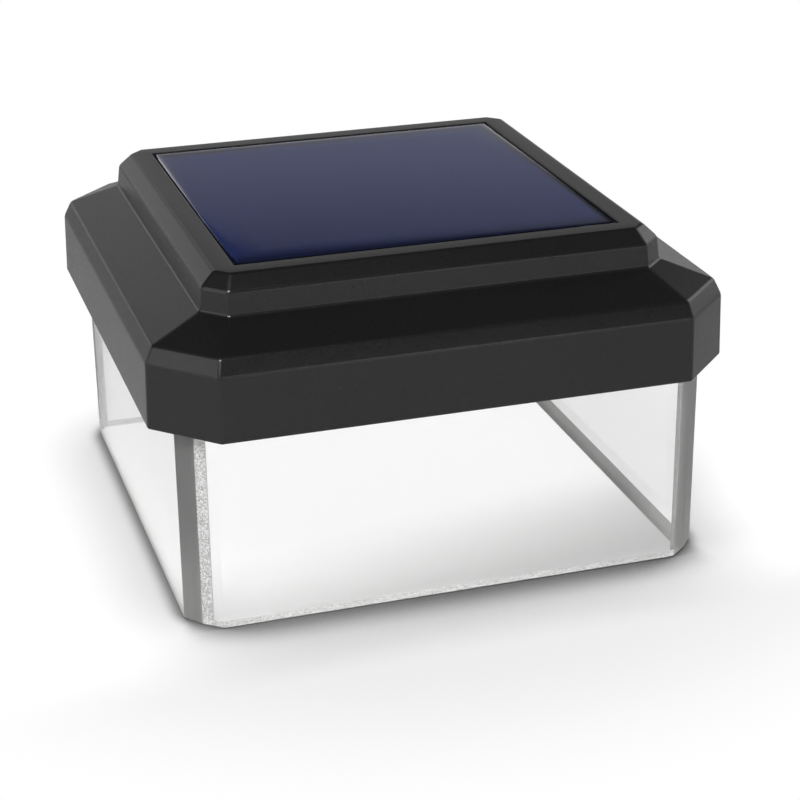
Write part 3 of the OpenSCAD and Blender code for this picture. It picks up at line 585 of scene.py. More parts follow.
def buildCapOutside(settings):
    top = settings["bottom"] + sum(height for width, height in settings["steps"])
    cap = steppedOctagon("capShell", settings["half"], settings["cut"], settings["bottom"], settings["steps"])
    editPiece(cap)
    pick("FACE", facesUp)
    insetFaces(settings["frame"], 0)
    insetFaces(0, -settings["pocketDepth"])
    pickAll()
    bpy.ops.mesh.remove_doubles(threshold=0.05 * mm)
    rim = settings["pocketHalf"] - settings["rimIn"]

    def fromMiddle(edge):
        return max(abs(edgeMiddle(edge).x), abs(edgeMiddle(edge).y))

    def onPocketRim(edge):
        straight = abs(edgeRun(edge).x * edgeRun(edge).y) < 0.01
        return abs(edgeMiddle(edge).z - top) < 0.01 and fromMiddle(edge) < rim and straight

    bevelEdges(cap, onPocketRim, settings["rimRound"], 2)
    bevelEdges(cap, lambda edge: edge.is_manifold and fromMiddle(edge) > rim + settings["rimIn"] / 2
               and edge.calc_face_angle() > math.radians(settings["sharp"]), settings["round"], 3)
    return cap


def buildCapHollow(settings):
    hollow = steppedOctagon("hollow", settings["half"] - settings["wall"],
                            settings["cut"] - (2 - math.sqrt(2)) * settings["wall"],
                            settings["bottom"] - 1, [(0, 1)] + settings["hollowSteps"])
    half, top = settings["pocketHalf"], settings["above"]
    combine(hollow, addBlock("pocket", (-half, -half, settings["pocketUnder"]), (half, half, top)))
    inner, outer = settings["rib"]
    low, high = settings["ribBottom"], settings["ribTop"]
    rib = addOctagon("rib", outer, lensCutAt(outer), low, high)
    combine(rib, addOctagon("ribHole", inner, lensCutAt(inner), low - 1, high + 1))
    combine(hollow, rib)
    for x, y in atCorners(settings["bossLine"]):
        combine(hollow, addRod("boss", (x, y, settings["bossBottom"]), (x, y, top), settings["boss"]))
    return hollow


def buildCap(settings):
    cap = buildCapOutside(settings)
    combine(cap, buildCapHollow(settings))
    holeY, under = settings["leadHoleY"], settings["pocketUnder"]
    combine(cap, addRod("leadHole", (0, holeY, under - 1), (0, holeY, settings["leadHoleTop"]),
                        settings["leadHole"]))
    for x, y in atCorners(settings["bossLine"]):
        combine(cap, addRod("pilot", (x, y, settings["bossBottom"] - 1), (x, y, settings["pilotTop"]),
                            settings["pilot"], 24))
    finishPiece(cap, "cap_shell", [blackAbs])


buildCap(capSettings)


# the resin runs down between the cells, so its underside lies just inside the board
panelSettings = {"half": 35.58, "bottom": 61.06, "edge": 62.74, "dome": [
    (0.1, 0.08), (0.2, 0.06), (0.4, 0.03), (0.8, 0.015), (1.4, 0.015), (2.0, 0.012), (2.2, 0.007)]}


def buildPanelCover(half, bottom, edge, dome):
    cover = addBlock("panelCover", (-half, -half, bottom), (half, half, edge))
    editPiece(cover)
    pick("FACE", facesUp)
    for width, height in dome:
        insetFaces(width, height)
    deselectAll()
    paint(cover, [epoxy, dullEpoxy], [lambda face: abs(face.normal.z) < 0.1])
    finishPiece(cover, "panel_cover", angle=60)


buildPanelCover(**panelSettings)


def dressNode(name, material, edge):
    # a CAD node keeps its mesh: its triangles are welded and its edges rounded by modifiers
    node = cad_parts[name]
    node.data.materials.clear()
    node.data.materials.append(material)
    weld = node.modifiers.new("weld", "WELD")
    weld.merge_threshold = 0.002 * mm
    flat = node.modifiers.new("flat", "DECIMATE")
    flat.decimate_type, flat.angle_limit = "DISSOLVE", math.radians(0.5)
    rounding = node.modifiers.new("edges", "BEVEL")
    rounding.width, rounding.segments = edge * mm, 2
    rounding.limit_method, rounding.angle_limit = "ANGLE", math.radians(30)
    rounding.harden_normals = True


for nodeName, nodeMaterial, nodeEdge in (
        ("solar_cells", silicon, 0.05), ("panel_board", laminate, 0.1), ("base_plate", whiteAbs, 0.12),
        ("battery_door", whiteAbs, 0.15), ("switch_body", zinc, 0.12), ("lamp_board", lampMask, 0.05),
        ("driver_board", greenMask, 0.06)):
    dressNode(nodeName, nodeMaterial, nodeEdge)
print("carried nodes dressed")


boxSettings = {
    "half": 49.5, "cut": 6.0, "insideHalf": 45.5, "insideCut": 1.605, "top": 41.0, "stop": 38.0,
    "window": 40.0, "gusset": 14.0, "line": 37.5, "head": 2.8, "seat": 39.6, "hole": 1.6,
    "crown": 0.45, "crownEdge": 0.22, "rimChamfer": 0.4, "footHeight": 4.0, "skin": 2.5, "rimDepth": 5.0,
}
facetWidth = boxSettings["cut"] / math.sqrt(2) / 2   # each corner has two facets, each in two strips


def outward(spot):
    # distance from the middle of the light to the box's outline through a point, at its sides
    return max(abs(spot.x), abs(spot.y), (abs(spot.x) + abs(spot.y) + boxSettings["cut"]) / 2)


def isOuter(spot, depth="skin"):
    # whether a point is less than a depth inside the box's outline
    return outward(spot) > boxSettings["half"] - boxSettings[depth]


def onCorner(face):
    upright, aslant = abs(face.normal.z) < 0.3, abs(face.normal.x * face.normal.y) > 0.2
    return upright and aslant and isOuter(faceMiddle(face))


def fromDiagonal(spot):
    # distance in millimetres from the upright plane through the middle and a corner
    return abs(abs(spot.x) - abs(spot.y)) / math.sqrt(2)


def buildBoxOutside(half, cut, top, crown, crownEdge, **others):
    # each corner is cut off and its middle drawn out a little, so that it has a fine edge and two
    # facets, each in two strips
    box = addOctagon("lensBox", half, cut, 0, top)
    editPiece(box)
    pick("EDGE", lambda edge: isLevel(edge) and abs(edgeRun(edge).x * edgeRun(edge).y) > 0.4)
    bpy.ops.mesh.subdivide(number_cuts=3)
    out = 0.5 * crown / math.sqrt(2) * mm
    # the middle is drawn out by half the crown, then it and the points beside it by half again
    for reach in (0.1, facetWidth + 0.1):
        for x, y in atCorners(1):
            pick("VERT", lambda vert: fromDiagonal(vert.co / mm) < reach
                 and vert.co.x * x > 0 and vert.co.y * y > 0)
            bpy.ops.transform.translate(value=(x * out, y * out, 0))
    for x, y in atCorners(1):
        for side in (-1, 0, 1):
            pick("VERT", lambda vert: vert.co.x * x > 0 and vert.co.y * y > 0 and abs(
                (abs(vert.co.x) - abs(vert.co.y)) / math.sqrt(2) / mm - side * facetWidth) < 0.1)
            bpy.ops.mesh.vert_connect()
    bevelEdges(box, lambda edge: isUpright(edge) and fromDiagonal(edgeMiddle(edge)) < 0.1, crownEdge, 2)
    return box


def onUnderside(face):
    spot = faceMiddle(face)
    return face.normal.z < -0.3 and isOuter(spot, "rimDepth") and spot.z < 1


def onLeftFacet(face):
    # beside the front or back wall, at its left end seen from outside
    spot, normal = faceMiddle(face), face.normal
    return onCorner(face) and abs(normal.y) > abs(normal.x) and spot.x * spot.y > 0


def isSparkling(face):
    # the underside of the front and back walls, and the inner strip of their left facets
    spot = faceMiddle(face)
    if onUnderside(face):
        return abs(spot.y) > abs(spot.x)
    return onLeftFacet(face) and fromDiagonal(spot) < facetWidth


def isSatin(face):
    # the other facets and undersides, and a strip at the foot of the right wall inside, on that wall alone,
    # which draws a grey band there
    spot = faceMiddle(face)
    if isSparkling(face) or onLeftFacet(face):
        return False
    foot = face.normal.x < -0.9 and not isOuter(spot) and spot.x > abs(spot.y)
    return onUnderside(face) or onCorner(face) or (foot and spot.z < boxSettings["footHeight"])


def buildBox(insideHalf, insideCut, top, stop, window, gusset, line, head, seat, hole, rimChamfer,
             footHeight, **others):
    box = buildBoxOutside(**boxSettings)
    combine(box, addOctagon("inside", insideHalf, insideCut, -1, stop))
    combine(box, addOctagon("window", window, gusset, stop - 1, top + 1))
    for x, y in atCorners(line):
        combine(box, addRod("sink", (x, y, stop - 1), (x, y, seat), head, 32))
        combine(box, addRod("hole", (x, y, stop), (x, y, top + 1), hole, 24))
    bevelEdges(box, lambda edge: abs(edgeMiddle(edge).z) < 0.01 and isOuter(edgeMiddle(edge)), rimChamfer, 1)
    # the walls are parted at the height of their foot, and the underside from corner to corner
    editPiece(box)
    pick("FACE", lambda face: abs(face.normal.x) > 0.9 and not isOuter(faceMiddle(face))
         and abs(faceMiddle(face).x) > window + 2)
    bpy.ops.mesh.bisect(plane_co=(0, 0, footHeight * mm), plane_no=(0, 0, 1))
    for diagonal in ((1, 1, 0), (1, -1, 0)):
        pick("FACE", lambda face: face.normal.z < -0.9 and faceMiddle(face).z < 0.1)
        bpy.ops.mesh.bisect(plane_co=(0, 0, 0), plane_no=diagonal)
    deselectAll()
    paint(box, [acrylic, sparkling, satin], [isSparkling, isSatin])
    finishPiece(box, "lens_box", angle=4)


buildBox(**boxSettings)

screwSettings = {
    "lens": {"head": 5.0, "rise": 1.5, "shank": 2.6, "core": 1.9, "length": 12.0, "recess": 2.8,
             "slot": 0.6, "depth": 0.9, "place": 38.1, "toward": 1},
    "board": {"head": 4.0, "rise": 1.3, "shank": 2.0, "core": 1.45, "length": 4.2, "recess": 2.2,
              "slot": 0.5, "depth": 0.7, "place": 49.1, "toward": -1},
}


def buildScrew(head, rise, shank, core, length, recess, slot, depth, place, toward):
    # pan head with a cross recess, and a rolled thread drawn as rings at its 1 mm pitch
    head, shank, core, end = head / 2, shank / 2, core / 2, rise + length
    profile = [(0, head - 0.7), (0.08, head - 0.4), (0.3, head - 0.12), (0.6, head), (rise, head),
               (rise, shank), (rise + 0.4, shank)]
    height = rise + 0.6
    while height < end - 1.2:
        profile += [(height, core), (height + 0.4, shank), (height + 0.55, shank)]
        height += 0.95
    profile += [(end - 0.5, core), (end, core * 0.6)]
    screw = turned("screw", (0, 0, place), (0, 0, toward), profile, 28)
    low, high = sorted((place - toward, place + toward * depth))
    for x, y in ((slot / 2, recess / 2), (recess / 2, slot / 2)):
        combine(screw, addBlock("recess", (-x, -y, low), (x, y, high)))
    return screw


def buildScrews(name, settings, places, replaced):
    screws = spread(name, buildScrew(**settings), [(x, y, 0, turn) for x, y, turn in places])
    finishPiece(screws, replaced, [zinc])


buildScrews("lensScrews", screwSettings["lens"],
            [(-37.5, -37.5, 20), (37.5, -37.5, 65), (37.5, 37.5, 8), (-37.5, 37.5, 50)], "lens_screws")
buildScrews("boardScrews", screwSettings["board"], [(-14.6, -12.4, 15), (14.6, -27.6, 55)], "driver_screws")

tapeSettings = {"half": 35.6, "width": 8.0, "low": 59.4, "high": 59.9, "joint": 0.1, "edge": 0.12}


def buildTape(half, width, low, high, joint, edge):
    # four strips laid round like a pinwheel
    strip = addBlock("panelTape", (-half, half - width, low), (half - width - joint, half, high))
    bevelEdges(strip, anyEdge, edge, 2)
    tape = spread("panelTape", strip, [(0, 0, 0, turn) for turn in (0, 90, 180, 270)])
    finishPiece(tape, "panel_tape", [foam])


buildTape(**tapeSettings)

gasketSettings = {"outer": 49.0, "inner": 46.0, "low": 45.2, "high": 46.2, "round": 0.32}


def buildGasket(outer, inner, low, high, round):
    gasket = addOctagon("baseGasket", outer, lensCutAt(outer), low, high)
    combine(gasket, addOctagon("gasketHole", inner, lensCutAt(inner), low - 1, high + 1))
    bevelEdges(gasket, lambda edge: isLevel(edge) and edge.calc_face_angle() > 1, round, 3)
    finishPiece(gasket, "base_gasket", [epdm])


buildGasket(**gasketSettings)

lampSettings = {"half": 1.7, "end": 1.75, "low": 42.2, "high": 43.0, "line": 47.6, "width": 1.4,
                "pitch": 32.0, "corner": 0.2, "cup": 0.4, "cupDepth": 0.14, "gelRise": 0.05,
                "plateIn": 1.3, "plateHalf": 0.8, "plateThick": 0.22}


def buildLampPackage(half, end, low, high, line, width, corner, cup, cupDepth, gelRise, plateIn, plateHalf,
                     plateThick, **others):
    # white cup open downwards with gel in it, and a plated terminal at each end
    package = addBlock("lampPackage", (-half, line - width, low), (half, line + width, high))
    bevelEdges(package, isUpright, corner, 2)
    editPiece(package)
    pick("FACE", lambda face: face.normal.z < -0.9)
    for inset, rise in ((cup, 0), (0.1, -cupDepth), (0.25, gelRise), (0.3, gelRise / 2)):
        insetFaces(inset, rise)
    deselectAll()
    ends = [addBlock("terminal", (min(s * plateIn, s * end), line - plateHalf, high - plateThick),
                     (max(s * plateIn, s * end), line + plateHalf, high)) for s in (-1, 1)]
    package = joinPieces("lampPackage", [package] + ends)

    def inCup(face):
        spot = faceMiddle(face)
        inside = max(abs(spot.x) - half, abs(spot.y - line) - width) < -cup - 0.08
        return inside and face.normal.z < -0.5 and spot.z < low + cupDepth + 0.01

    def onTerminal(face):
        spot = faceMiddle(face)
        side = spot.z > high - plateThick - 0.02 and abs(abs(spot.y - line) - plateHalf) < 0.01
        return side or abs(spot.x) > half + 0.01

    paint(package, [housing, phosphor, solder], [inCup, onTerminal])
    return package


def buildLampRow(settings):
    package, shift = buildLampPackage(**settings), settings["pitch"] / 2
    moves = []
    for turn in (0, 90, 180, 270):
        along = Matrix.Rotation(math.radians(turn), 3, "Z") @ Vector((shift, 0, 0))
        moves += [(along.x, along.y, 0, turn), (-along.x, -along.y, 0, turn)]
    finishPiece(spread("lampPackages", package, moves), "lamps")


buildLampRow(lampSettings)

boardTop = 47.8
chipSettings = {"place": (-6.5, -21.0), "length": 5.0, "width": 4.0, "clear": 0.15, "height": 1.45,
                "taper": 0.95, "pitch": 1.27, "leg": 0.4, "thick": 0.2, "reach": 1.0, "edge": 0.05,
                "dimple": 0.35, "dimpleIn": 0.8, "dimpleDepth": 0.08}


def buildChip(place, length, width, clear, height, taper, pitch, leg, thick, reach, edge, dimple, dimpleIn,
              dimpleDepth):
    # body with drafted top and a pin one dimple, and eight gull wing legs
    x, y, high = length / 2, width / 2, clear + height
    middle = (clear + high) / 2
    chip = addBlock("driverChip", (-x, -y, clear), (x, y, high))
    editPiece(chip)
    pickAll()
    bpy.ops.mesh.bisect(plane_co=(0, 0, middle * mm), plane_no=(0, 0, 1))
    pick("FACE", lambda face: abs(face.normal.z) > 0.9)
    bpy.ops.transform.resize(value=(taper, taper, 1), center_override=(0, 0, 0))
    bevelEdges(chip, anyEdge, edge, 1)
    dotX, dotY = dimpleIn - x, dimpleIn - y
    combine(chip, addRod("dimple", (dotX, dotY, high - dimpleDepth), (dotX, dotY, high + 1), dimple, 20))
    leg = addBlock("leg", (-leg / 2, y - 0.2, middle - thick / 2), (leg / 2, y + 0.25, middle + thick / 2))
    editPiece(leg)
    pick("FACE", lambda face: face.normal.y > 0.9)
    drop = (middle - thick / 2) * mm
    for move in ((0, 0.3 * mm, -drop), (0, (reach - 0.55) * mm, 0)):
        bpy.ops.mesh.extrude_region_move(TRANSFORM_OT_translate={"value": move})
    bevelEdges(leg, lambda edge: abs(edgeRun(edge).x) > 0.9, edge, 2)
    moves = [((i - 1.5) * pitch, turn) for i in range(4) for turn in (0, 180)]
    legs = spread("legs", leg, [(along if turn == 0 else -along, 0, 0, turn) for along, turn in moves])
    chip = joinPieces("driverChip", [chip, legs])
    paint(chip, [chipEpoxy, solder], [lambda face: abs(faceMiddle(face).y) > y + 0.02])
    finishPiece(spread("driverChip", chip, [(*place, boardTop, 0)]), "driver_chip")


buildChip(**chipSettings)

inductorSettings = {"place": (2.5, -19.0, boardTop), "flange": 4.0, "waist": 2.4, "height": 6.0,
                    "thick": 1.0, "across": 0.36, "outer": 3.3, "turns": 11}


def buildInductor(place, flange, waist, height, thick, across, outer, turns):
    # drum core with rounded flanges, wound with one layer of round wire between them
    core = turned("inductor", place, (0, 0, 1), [
        (0, flange - 0.2), (0.2, flange), (thick - 0.15, flange), (thick, flange - 0.15), (thick, waist),
        (height - thick, waist), (height - thick, flange - 0.15), (height - thick + 0.15, flange),
        (height - 0.2, flange), (height, flange - 0.2), (height, 1.4), (height - 0.3, 1.2)], 48)
    start = (height - turns * across) / 2
    rings = [(start, waist + 0.1)]
    for turn in range(turns):
        for share, depth in ((0.02, 0.15), (0.25, 0.03), (0.5, 0), (0.75, 0.03), (0.98, 0.15)):
            rings.append((start + (turn + share) * across, outer - depth))
    rings.append((start + turns * across, waist + 0.1))
    winding = turned("winding", place, (0, 0, 1), rings, 48)
    core.data.materials.append(ferrite)
    winding.data.materials.append(copper)
    finishPiece(joinPieces("inductor", [core, winding]), "inductor")


buildInductor(**inductorSettings)

capacitorSettings = {"place": (11.5, -19.0, boardTop), "height": 7.0, "lip": 2.15, "vent": (1.5, 0.07),
                     "profile": [(0, 1.9), (0, 2.35), (0.15, 2.5), (1.0, 2.5), (1.15, 2.32), (1.35, 2.32),
                                 (1.5, 2.5), (6.6, 2.5), (6.9, 2.4), (7.0, 2.25), (6.9, 2.15), (6.86, 2.1)]}


def buildCapacitor(place, height, lip, vent, profile):
    # sleeved can, crimped near its foot, with a scored vent in the bare top
    can = turned("capacitor", place, (0, 0, 1), profile, 40)
    x0, y0, high = place[0], place[1], place[2] + height
    for x, y in (vent, vent[::-1]):
        combine(can, addBlock("vent", (x0 - x, y0 - y, high - 0.22), (x0 + x, y0 + y, high + 1)))

    def onTop(face):
        spot = faceMiddle(face)
        return spot.z > high - 0.3 and (spot.xy - Vector((x0, y0))).length < lip

    paint(can, [canSleeve, aluminium, epdm], [onTop, lambda face: face.normal.z < -0.9])
    finishPiece(can, "capacitor")


buildCapacitor(**capacitorSettings)

diodeSettings = {"place": (-1.5, -11.5, 49.0), "radius": 1.2, "length": 4.0, "band": (3.0, 3.5),
                 "leg": 0.3, "legs": (-3.0, 4.0), "corner": 0.25, "ends": [(0, 0.35), (0.12, 0.1), (0.35, 0)]}


def buildDiode(place, radius, length, band, leg, legs, corner, ends):
    (x0, y, z), (left, right) = place, legs
    body = turned("diode", place, (1, 0, 0), roundedRod(radius, length, ends, band), 32)
    bent = wire("legs", [(left, y, boardTop), (left, y, z - corner), (left + 0.07, y, z - 0.07),
                         (left + corner, y, z), (right - corner, y, z), (right - 0.07, y, z - 0.07),
                         (right, y, z - corner), (right, y, boardTop)], leg, 2)
    paint(body, [chipEpoxy, housing], [lambda face: band[0] < faceMiddle(face).x - x0 < band[1]])
    bent.data.materials.append(solder)
    finishPiece(joinPieces("diode", [body, bent]), "diode")


buildDiode(**diodeSettings)

leverSettings = {"fingerX": (-1.9, -0.1), "fingerY": (-28.9, -27.3), "low": 39.4, "carriageX": (-2.8, 0.8),
                 "carriageY": (-29.25, -26.95), "carriageZ": (43.7, 44.9), "edge": 0.2,
                 "grooves": (-0.45, 0.0, 0.45), "groove": 0.14}


def buildLever(fingerX, fingerY, low, carriageX, carriageY, carriageZ, edge, grooves, groove):
    # the finger end has three small grooves across it
    (x0, x1), (y0, y1) = fingerX, fingerY
    lever = addBlock("switchLever", (x0, y0, low), (x1, y1, carriageZ[0] + 0.4))
    bevelEdges(lever, lambda part: edgeMiddle(part).z < low + 1 or isUpright(part), edge, 3)
    for shift in grooves:
        x = (x0 + x1) / 2 + shift
        combine(lever, addRod("groove", (x, y0 - 1, low), (x, y1 + 1, low), groove, 16))
    carriage = addBlock("carriage", *zip(carriageX, carriageY, carriageZ))
    bevelEdges(carriage, anyEdge, edge / 2, 2)
    combine(lever, carriage, "UNION")
    finishPiece(lever, "switch_lever", [nylon], body="lever")


buildLever(**leverSettings)

cellSettings = {"place": (-21.9, 13.0, 48.5), "bare": 5.05, "card": (2.8, 5.0), "cardAt": 26.6, "profile": [
    (0.12, 5.0), (0, 5.4), (0, 6.2), (0.22, 6.75), (0.7, 7.1), (2.2, 7.1), (2.5, 7.05), (46.5, 7.05),
    (46.8, 7.1), (47.9, 7.1), (48.45, 6.85), (48.75, 6.3), (48.8, 5.2), (48.64, 5.0), (48.6, 4.0),
    (48.6, 2.75), (49.7, 2.75), (49.92, 2.6), (50.0, 2.3)]}


def buildCell(place, bare, card, cardAt, profile):
    # steel can in a shrunk sleeve, with a card ring under its button
    cell = turned("batteryCell", place, (1, 0, 0), profile, 64)

    def fromAxis(face):
        return (faceMiddle(face) - Vector(place)).yz.length

    paint(cell, [cellSleeve, nickel, housing], [
        lambda face: fromAxis(face) < bare,
        lambda face: card[0] < fromAxis(face) < card[1] and faceMiddle(face).x > cardAt])
    finishPiece(cell, "battery_cell")


buildCell(**cellSettings)

springSettings = {"start": -27.7, "end": -22.3, "y": 13.0, "z": 48.5, "radius": 3.5, "turns": 4,
                  "steps": 24, "thick": 0.4}


def buildSpring(start, end, y, z, radius, turns, steps, thick):
    count = turns * steps
    points = []
    for i in range(count + 1):
        turn = 2 * math.pi * i / steps
        points.append((start + (end - start) * i / count, y + radius * math.cos(turn),
                       z + radius * math.sin(turn)))
    finishPiece(wire("batterySpring", points, thick), "battery_spring", [nickel], angle=60)


buildSpring(**springSettings)

contactSettings = {"x": (28.1, 28.5), "y": (8.0, 18.0), "z": (44.0, 53.0), "tabX": 31.9,
                   "tabY": (11.5, 14.5), "tabThick": 0.4, "corner": 1.2, "tabCorner": 0.7, "edge": 0.06}


def buildContact(name, side, replaced, x, y, z, tabX, tabY, tabThick, corner, tabCorner, edge):
    plate = addBlock(name, *zip(x, y, z))
    bevelEdges(plate, lambda part: abs(edgeRun(part).x) > 0.9, corner, 3)
    tab = addBlock("tab", (x[0], tabY[0], z[1] - tabThick), (tabX, tabY[1], z[1]))
    bevelEdges(tab, lambda part: isUpright(part) and edgeMiddle(part).x > x[1] + 1, tabCorner, 3)
    combine(plate, tab, "UNION")
    bevelEdges(plate, lambda part: part.calc_face_angle() > 1, edge, 1)
    if side < 0:
        plate = spread(name, plate, [(0, y[0] + y[1], 0, 180)])
    finishPiece(plate, replaced, [nickel])


buildContact("contactPositive", 1, "contact_positive", **contactSettings)
buildContact("contactNegative", -1, "contact_negative", **contactSettings)

pinSettings = {"place": (-24.0, 23.65, 39.85), "length": 49.0, "radius": 0.75,
               "ends": [(0, 0.3), (0.12, 0.08), (0.35, 0)]}


def buildPin(place, length, radius, ends):
    pin = turned("doorPin", place, (1, 0, 0), roundedRod(radius, length, ends), 32)
    finishPiece(pin, "door_pin", [zinc])


buildPin(**pinSettings)

leadX, leadZ, lampLeadX = 31.0, 53.6, -44.4
# the two leads of the lamps run side by side: (x, z) of their points
lampRoute = [(-16, 47.8), (-16, 48.8), (-16.2, 49.8), (-20, 50.8), (-28, 50.2), (-37, 49.4), (-43, 48.4),
             (lampLeadX + 0.1, 47), (lampLeadX, 46), (lampLeadX, 45), (lampLeadX, 44)]
leadSettings = {
    "radius": 0.6, "steps": 4, "joint": [(0, 1.0), (0.2, 0.9), (0.5, 0.7), (0.9, 0.63)],
    "routes": {
        "panelLeadRed": ("panel_lead_red", "lead_red", [
            (1.4, -4, 59.9), (1.4, -4, 58.6), (1.4, -4, 57.2), (3, -5.5, 54.6), (6.6, -9, 52.4),
            (8.4, -11, 51), (8.5, -11.4, 49.8), (8.5, -11.4, 48.8), (8.5, -11.4, 47.8)]),
        "panelLeadBlack": ("panel_lead_black", "lead_black", [
            (-1.4, -4, 59.9), (-1.4, -4, 58.6), (-1.4, -4, 57.2), (-3, -5.5, 54.6), (-5.8, -9, 52.4),
            (-7.4, -11, 51), (-7.5, -11.4, 49.8), (-7.5, -11.4, 48.8), (-7.5, -11.4, 47.8)]),
        "batteryLeadRed": ("battery_lead_red", "lead_red", [
            (leadX, 14.4, leadZ), (leadX, 12.8, leadZ), (leadX, 11, leadZ), (leadX, 6, 52.4),
            (28.5, -1, 51), (22, -7, 50.4), (16.8, -11, 50.4), (15.6, -12.6, 49.8), (15.6, -12.6, 48.8),
            (15.6, -12.6, 47.8)]),
        "batteryLeadBlack": ("battery_lead_black", "lead_black", [
            (-leadX, 14.4, leadZ), (-leadX, 12.8, leadZ), (-leadX, 11, leadZ), (-leadX, 5, 52.4),
            (-29.5, -3, 51), (-24, -11, 50.4), (-18, -16.2, 50.4), (-16, -17.4, 49.8),
            (-16, -17.4, 48.8), (-16, -17.4, 47.8)]),
        "lampLeadRed": ("lamp_lead_red", "lead_red", [(x, -21, z) for x, z in lampRoute]),
        "lampLeadBlack": ("lamp_lead_black", "lead_black", [(x, -25, z) for x, z in lampRoute]),
    },
}


def smoothRoute(route, steps):
    # points on the smooth curve through a route
    points = [Vector(point) for point in route]
    found = []
    for i in range(len(points) - 1):
        a, b, c = points[max(i - 1, 0)], points[i], points[i + 1]
        d = points[min(i + 2, len(points) - 1)]
        for step in range(steps):
            t = step / steps
            found.append(0.5 * (2 * b + (c - a) * t + (2 * a - 5 * b + 4 * c - d) * t * t
                                + (3 * b - a - 3 * c + d) * t ** 3))
    return found + [points[-1]]


def buildLead(name, replaced, slot, route):
    # sleeved wire with a solder joint at each end
    radius = leadSettings["radius"]
    lead = wire(name, smoothRoute(route, leadSettings["steps"]), radius)
    lead.data.materials.append(redSleeve if slot == "lead_red" else blackSleeve)
    parts = [lead]
    for end, beside in (route[:2], route[:-3:-1]):
        rise = beside[2] - end[2]
        upright = abs(rise) > 0.1
        start = end if upright else (end[0], end[1], end[2] - radius)
        joint = turned("joint", start, (0, 0, rise if upright else 1), leadSettings["joint"], 20)
        joint.data.materials.append(solder)
        parts.append(joint)
    finishPiece(joinPieces(name, parts), replaced, angle=50)


for leadName, (replacedNode, leadSlot, leadRoute) in leadSettings["routes"].items():
    buildLead(leadName, replacedNode, leadSlot, leadRoute)

# the stage's distances are in metres, and each range is (from, to)
stageSettings = {
    "paper": "#ebebeb", "clear": (0.07, 0.12), "contact": 0.022, "contactShadeLow": (0.05, 0.42), "most": 1.26,
    "steady": 0.75, "shadeAlong": (-0.2, 0.98, 0), "through": 1.2, "inside": (-0.053, -0.012),
    "shadeUnderLow": 0.37, "outside": (-0.06, -0.035), "outsideShadeLow": 0.72, "sideways": 0.22,
    "beyond": (0.046, 0.051), "foot": (0.012, 0.004), "footTurn": 0.004, "footRange": (0.5, 0.93),
    "footShadowLow": 0.27,
}


def buildStage(paper, clear, contact, contactShadeLow, most, steady, shadeAlong, through, inside, shadeUnderLow,
               outside, outsideShadeLow, sideways, beyond, foot, footTurn, footRange, footShadowLow):
    # White paper. What the camera sees of it, directly or through the clear box, is mostly an even white,
    # with painted shade where the light stands close over it, in front of it and under it, and the rest is
    # its lit surface.
    deselectAll()
    bpy.ops.mesh.primitive_plane_add(size=8, location=(0, 0, -0.0002))
    floor = named("floor")
    material, tree, shader = newMaterial("studio paper", {"Base Color": srgb(paper), "Roughness": 0.9})
    place = addNode(tree, "TexCoord").outputs["Object"]
    path = addNode(tree, "LightPath")
    seen, passed = path.outputs["Is Camera Ray"], path.outputs["Is Transmission Ray"]
    distance = addNode(tree, "VectorMath", [place], operation="LENGTH")
    fade = addNode(tree, "MapRange", [distance, *clear], **smoothly)
    # painted contact shade: the even white darkens with the occlusion close round the box
    near = addNode(tree, "AmbientOcclusion", {"Distance": contact}, samples=12)
    # painted shade: it is lightest towards the back left and darker towards the front, more so under the box
    along = addNode(tree, "VectorMath", [place, shadeAlong], operation="DOT_PRODUCT")
    under = addNode(tree, "MapRange", [along, *inside, shadeUnderLow, through], **smoothly)
    # beyond the box it is light again
    spot = addNode(tree, "SeparateXYZ", [place])
    across = addNode(tree, "Math", [spot.outputs["X"]], operation="ABSOLUTE")
    edge = addNode(tree, "MapRange", [across, *beyond, 0.0, through], **smoothly)
    behind = addNode(tree, "Math", [under, edge], operation="MAXIMUM")
    # painted shade: outside it is darker in front than at both sides
    forward = addNode(tree, "Math", [across, sideways, spot.outputs["Y"]], operation="MULTIPLY_ADD")
    outsideShade = addNode(tree, "MapRange", [forward, *outside, outsideShadeLow], **smoothly)
    # the painted contact shade is deeper in front than at the sides
    low = addNode(tree, "MapRange", [along, *outside, *contactShadeLow], **smoothly)
    covered = addNode(tree, "MapRange", [near.outputs["AO"], 0.3, 1.0, low, most])
    shaded = addNode(tree, "Math", [covered, outsideShade], operation="MULTIPLY")
    level = addNode(tree, "Mix", {"Factor": passed, "A": shaded, "B": behind}, data_type="FLOAT")
    even = addNode(tree, "Emission", {"Color": (1, 1, 1, 1), "Strength": level})
    clearRays = addNode(tree, "Math", [seen, passed], operation="MAXIMUM")
    share = addNode(tree, "Math", [clearRays, steady], operation="MULTIPLY")
    lit = addNode(tree, "MixShader", [share, shader, even])
    # painted contact shadow: the dark line where the box stands on it, wider in front than at the sides
    side = addNode(tree, "Math", [across, spot.outputs["Y"]], operation="ADD")
    reach = addNode(tree, "MapRange", [side, -footTurn, footTurn, *foot])
    close = addNode(tree, "AmbientOcclusion", {"Distance": reach}, samples=12)
    dark = addNode(tree, "MapRange", [close.outputs["AO"], *footRange, 1 - footShadowLow, 0.0], **smoothly)
    shadow = addNode(tree, "Math", [dark, seen], operation="MULTIPLY")
    standing = addNode(tree, "MixShader", [shadow, lit])
    faded = addNode(tree, "Math", [clearRays, fade], operation="MULTIPLY")
    white = addNode(tree, "Emission", {"Color": (1, 1, 1, 1), "Strength": 1.0})
    mix = addNode(tree, "MixShader", [faded, standing, white])
    # its back is clear, so that the light can be looked at from below
    back = addNode(tree, "NewGeometry").outputs["Backfacing"]
    both = addNode(tree, "MixShader", [back, mix, addNode(tree, "BsdfTransparent")])
    feed(tree, tree.nodes["Material Output"], [both])
    floor.data.materials.append(material)


buildStage(**stageSettings)

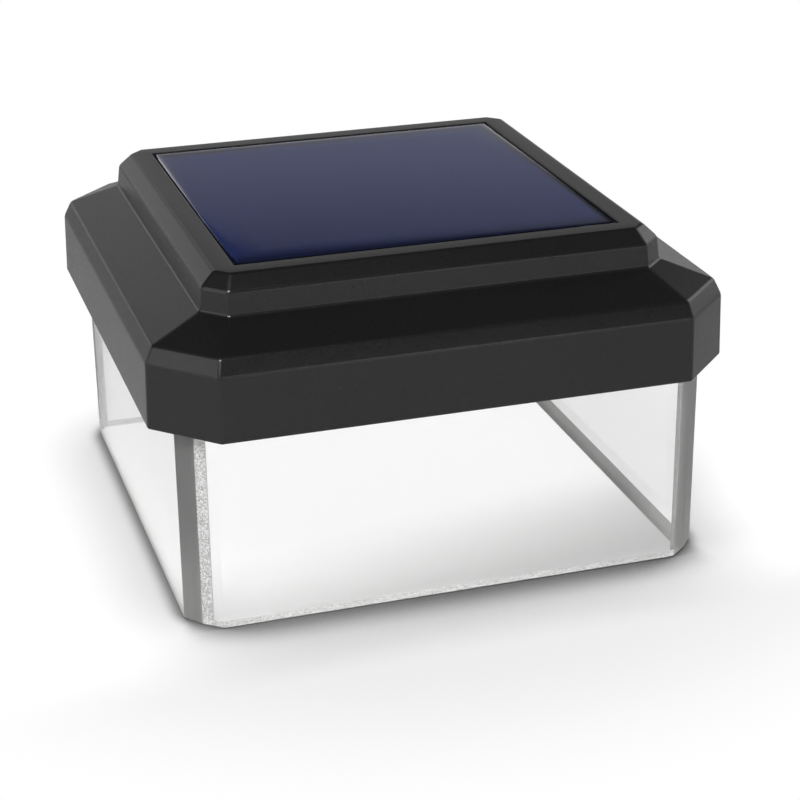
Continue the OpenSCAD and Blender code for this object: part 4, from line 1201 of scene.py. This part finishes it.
# brightness of the room round the light, by height (the sine of the elevation)
roomLevels = [(0.0, 1.0), (0.12, 1.0), (0.19, 0.85), (0.24, 0.6), (0.262, 0.42), (0.277, 0.33),
              (0.297, 0.26), (0.314, 0.2), (0.322, 0.16), (0.332, 0.06), (0.34, 0.03), (1.0, 0.03)]


def buildWorld(levels):
    world = bpy.data.worlds.new("studio")
    scene.world = world
    world.use_nodes = True
    tree = world.node_tree
    tree.nodes.clear()
    place = addNode(tree, "SeparateXYZ", [addNode(tree, "TexCoord").outputs["Generated"]])
    ramp = addNode(tree, "ValToRGB", [place.outputs["Z"]])
    stops = ramp.color_ramp.elements
    stops.remove(stops[1])
    for index, (position, level) in enumerate(levels):
        stop = stops.new(position) if index else stops[0]
        stop.position, stop.color = position, (level, level, level, 1)
    light = addNode(tree, "Background", {"Color": ramp, "Strength": 1.0})
    white = addNode(tree, "Background", {"Color": (1, 1, 1, 1), "Strength": 1.0})
    path = addNode(tree, "LightPath")
    mix = addNode(tree, "MixShader", [path.outputs["Is Camera Ray"], light, white])
    addNode(tree, "OutputWorld", [mix])


buildWorld(roomLevels)

# each lamp: its place, the height it is aimed at and its size in metres, and its power in watts
studioLamps = {
    "leftSoftbox": ((-0.95, -0.2, 0.5), 0.02, 0.6, 1.7),
    "rightSoftbox": ((0.95, 0.25, 0.55), 0.02, 0.6, 1.8),
    "backSoftbox": ((-0.1, 0.98, 0.55), 0.02, 0.36, 0.2),
    "key": ((-0.37, -0.64, 0.88), 0.0, 0.3, 9.0),
    "frontStrip": ((0.27, -0.92, 0.25), 0.04, 0.12, 0.22),
}


def buildLamp(name, place, aim, size, power):
    data = bpy.data.lights.new(name, "AREA")
    data.size, data.energy = size, power
    lamp = bpy.data.objects.new(name, data)
    scene.collection.objects.link(lamp)
    lamp.location = place
    lamp.rotation_euler = (Vector(place) - Vector((0, 0, aim))).to_track_quat("Z", "Y").to_euler()


for lampName, lamp in studioLamps.items():
    buildLamp(lampName, *lamp)
scene.view_settings.view_transform = "Standard"
print("stage and lamps set")
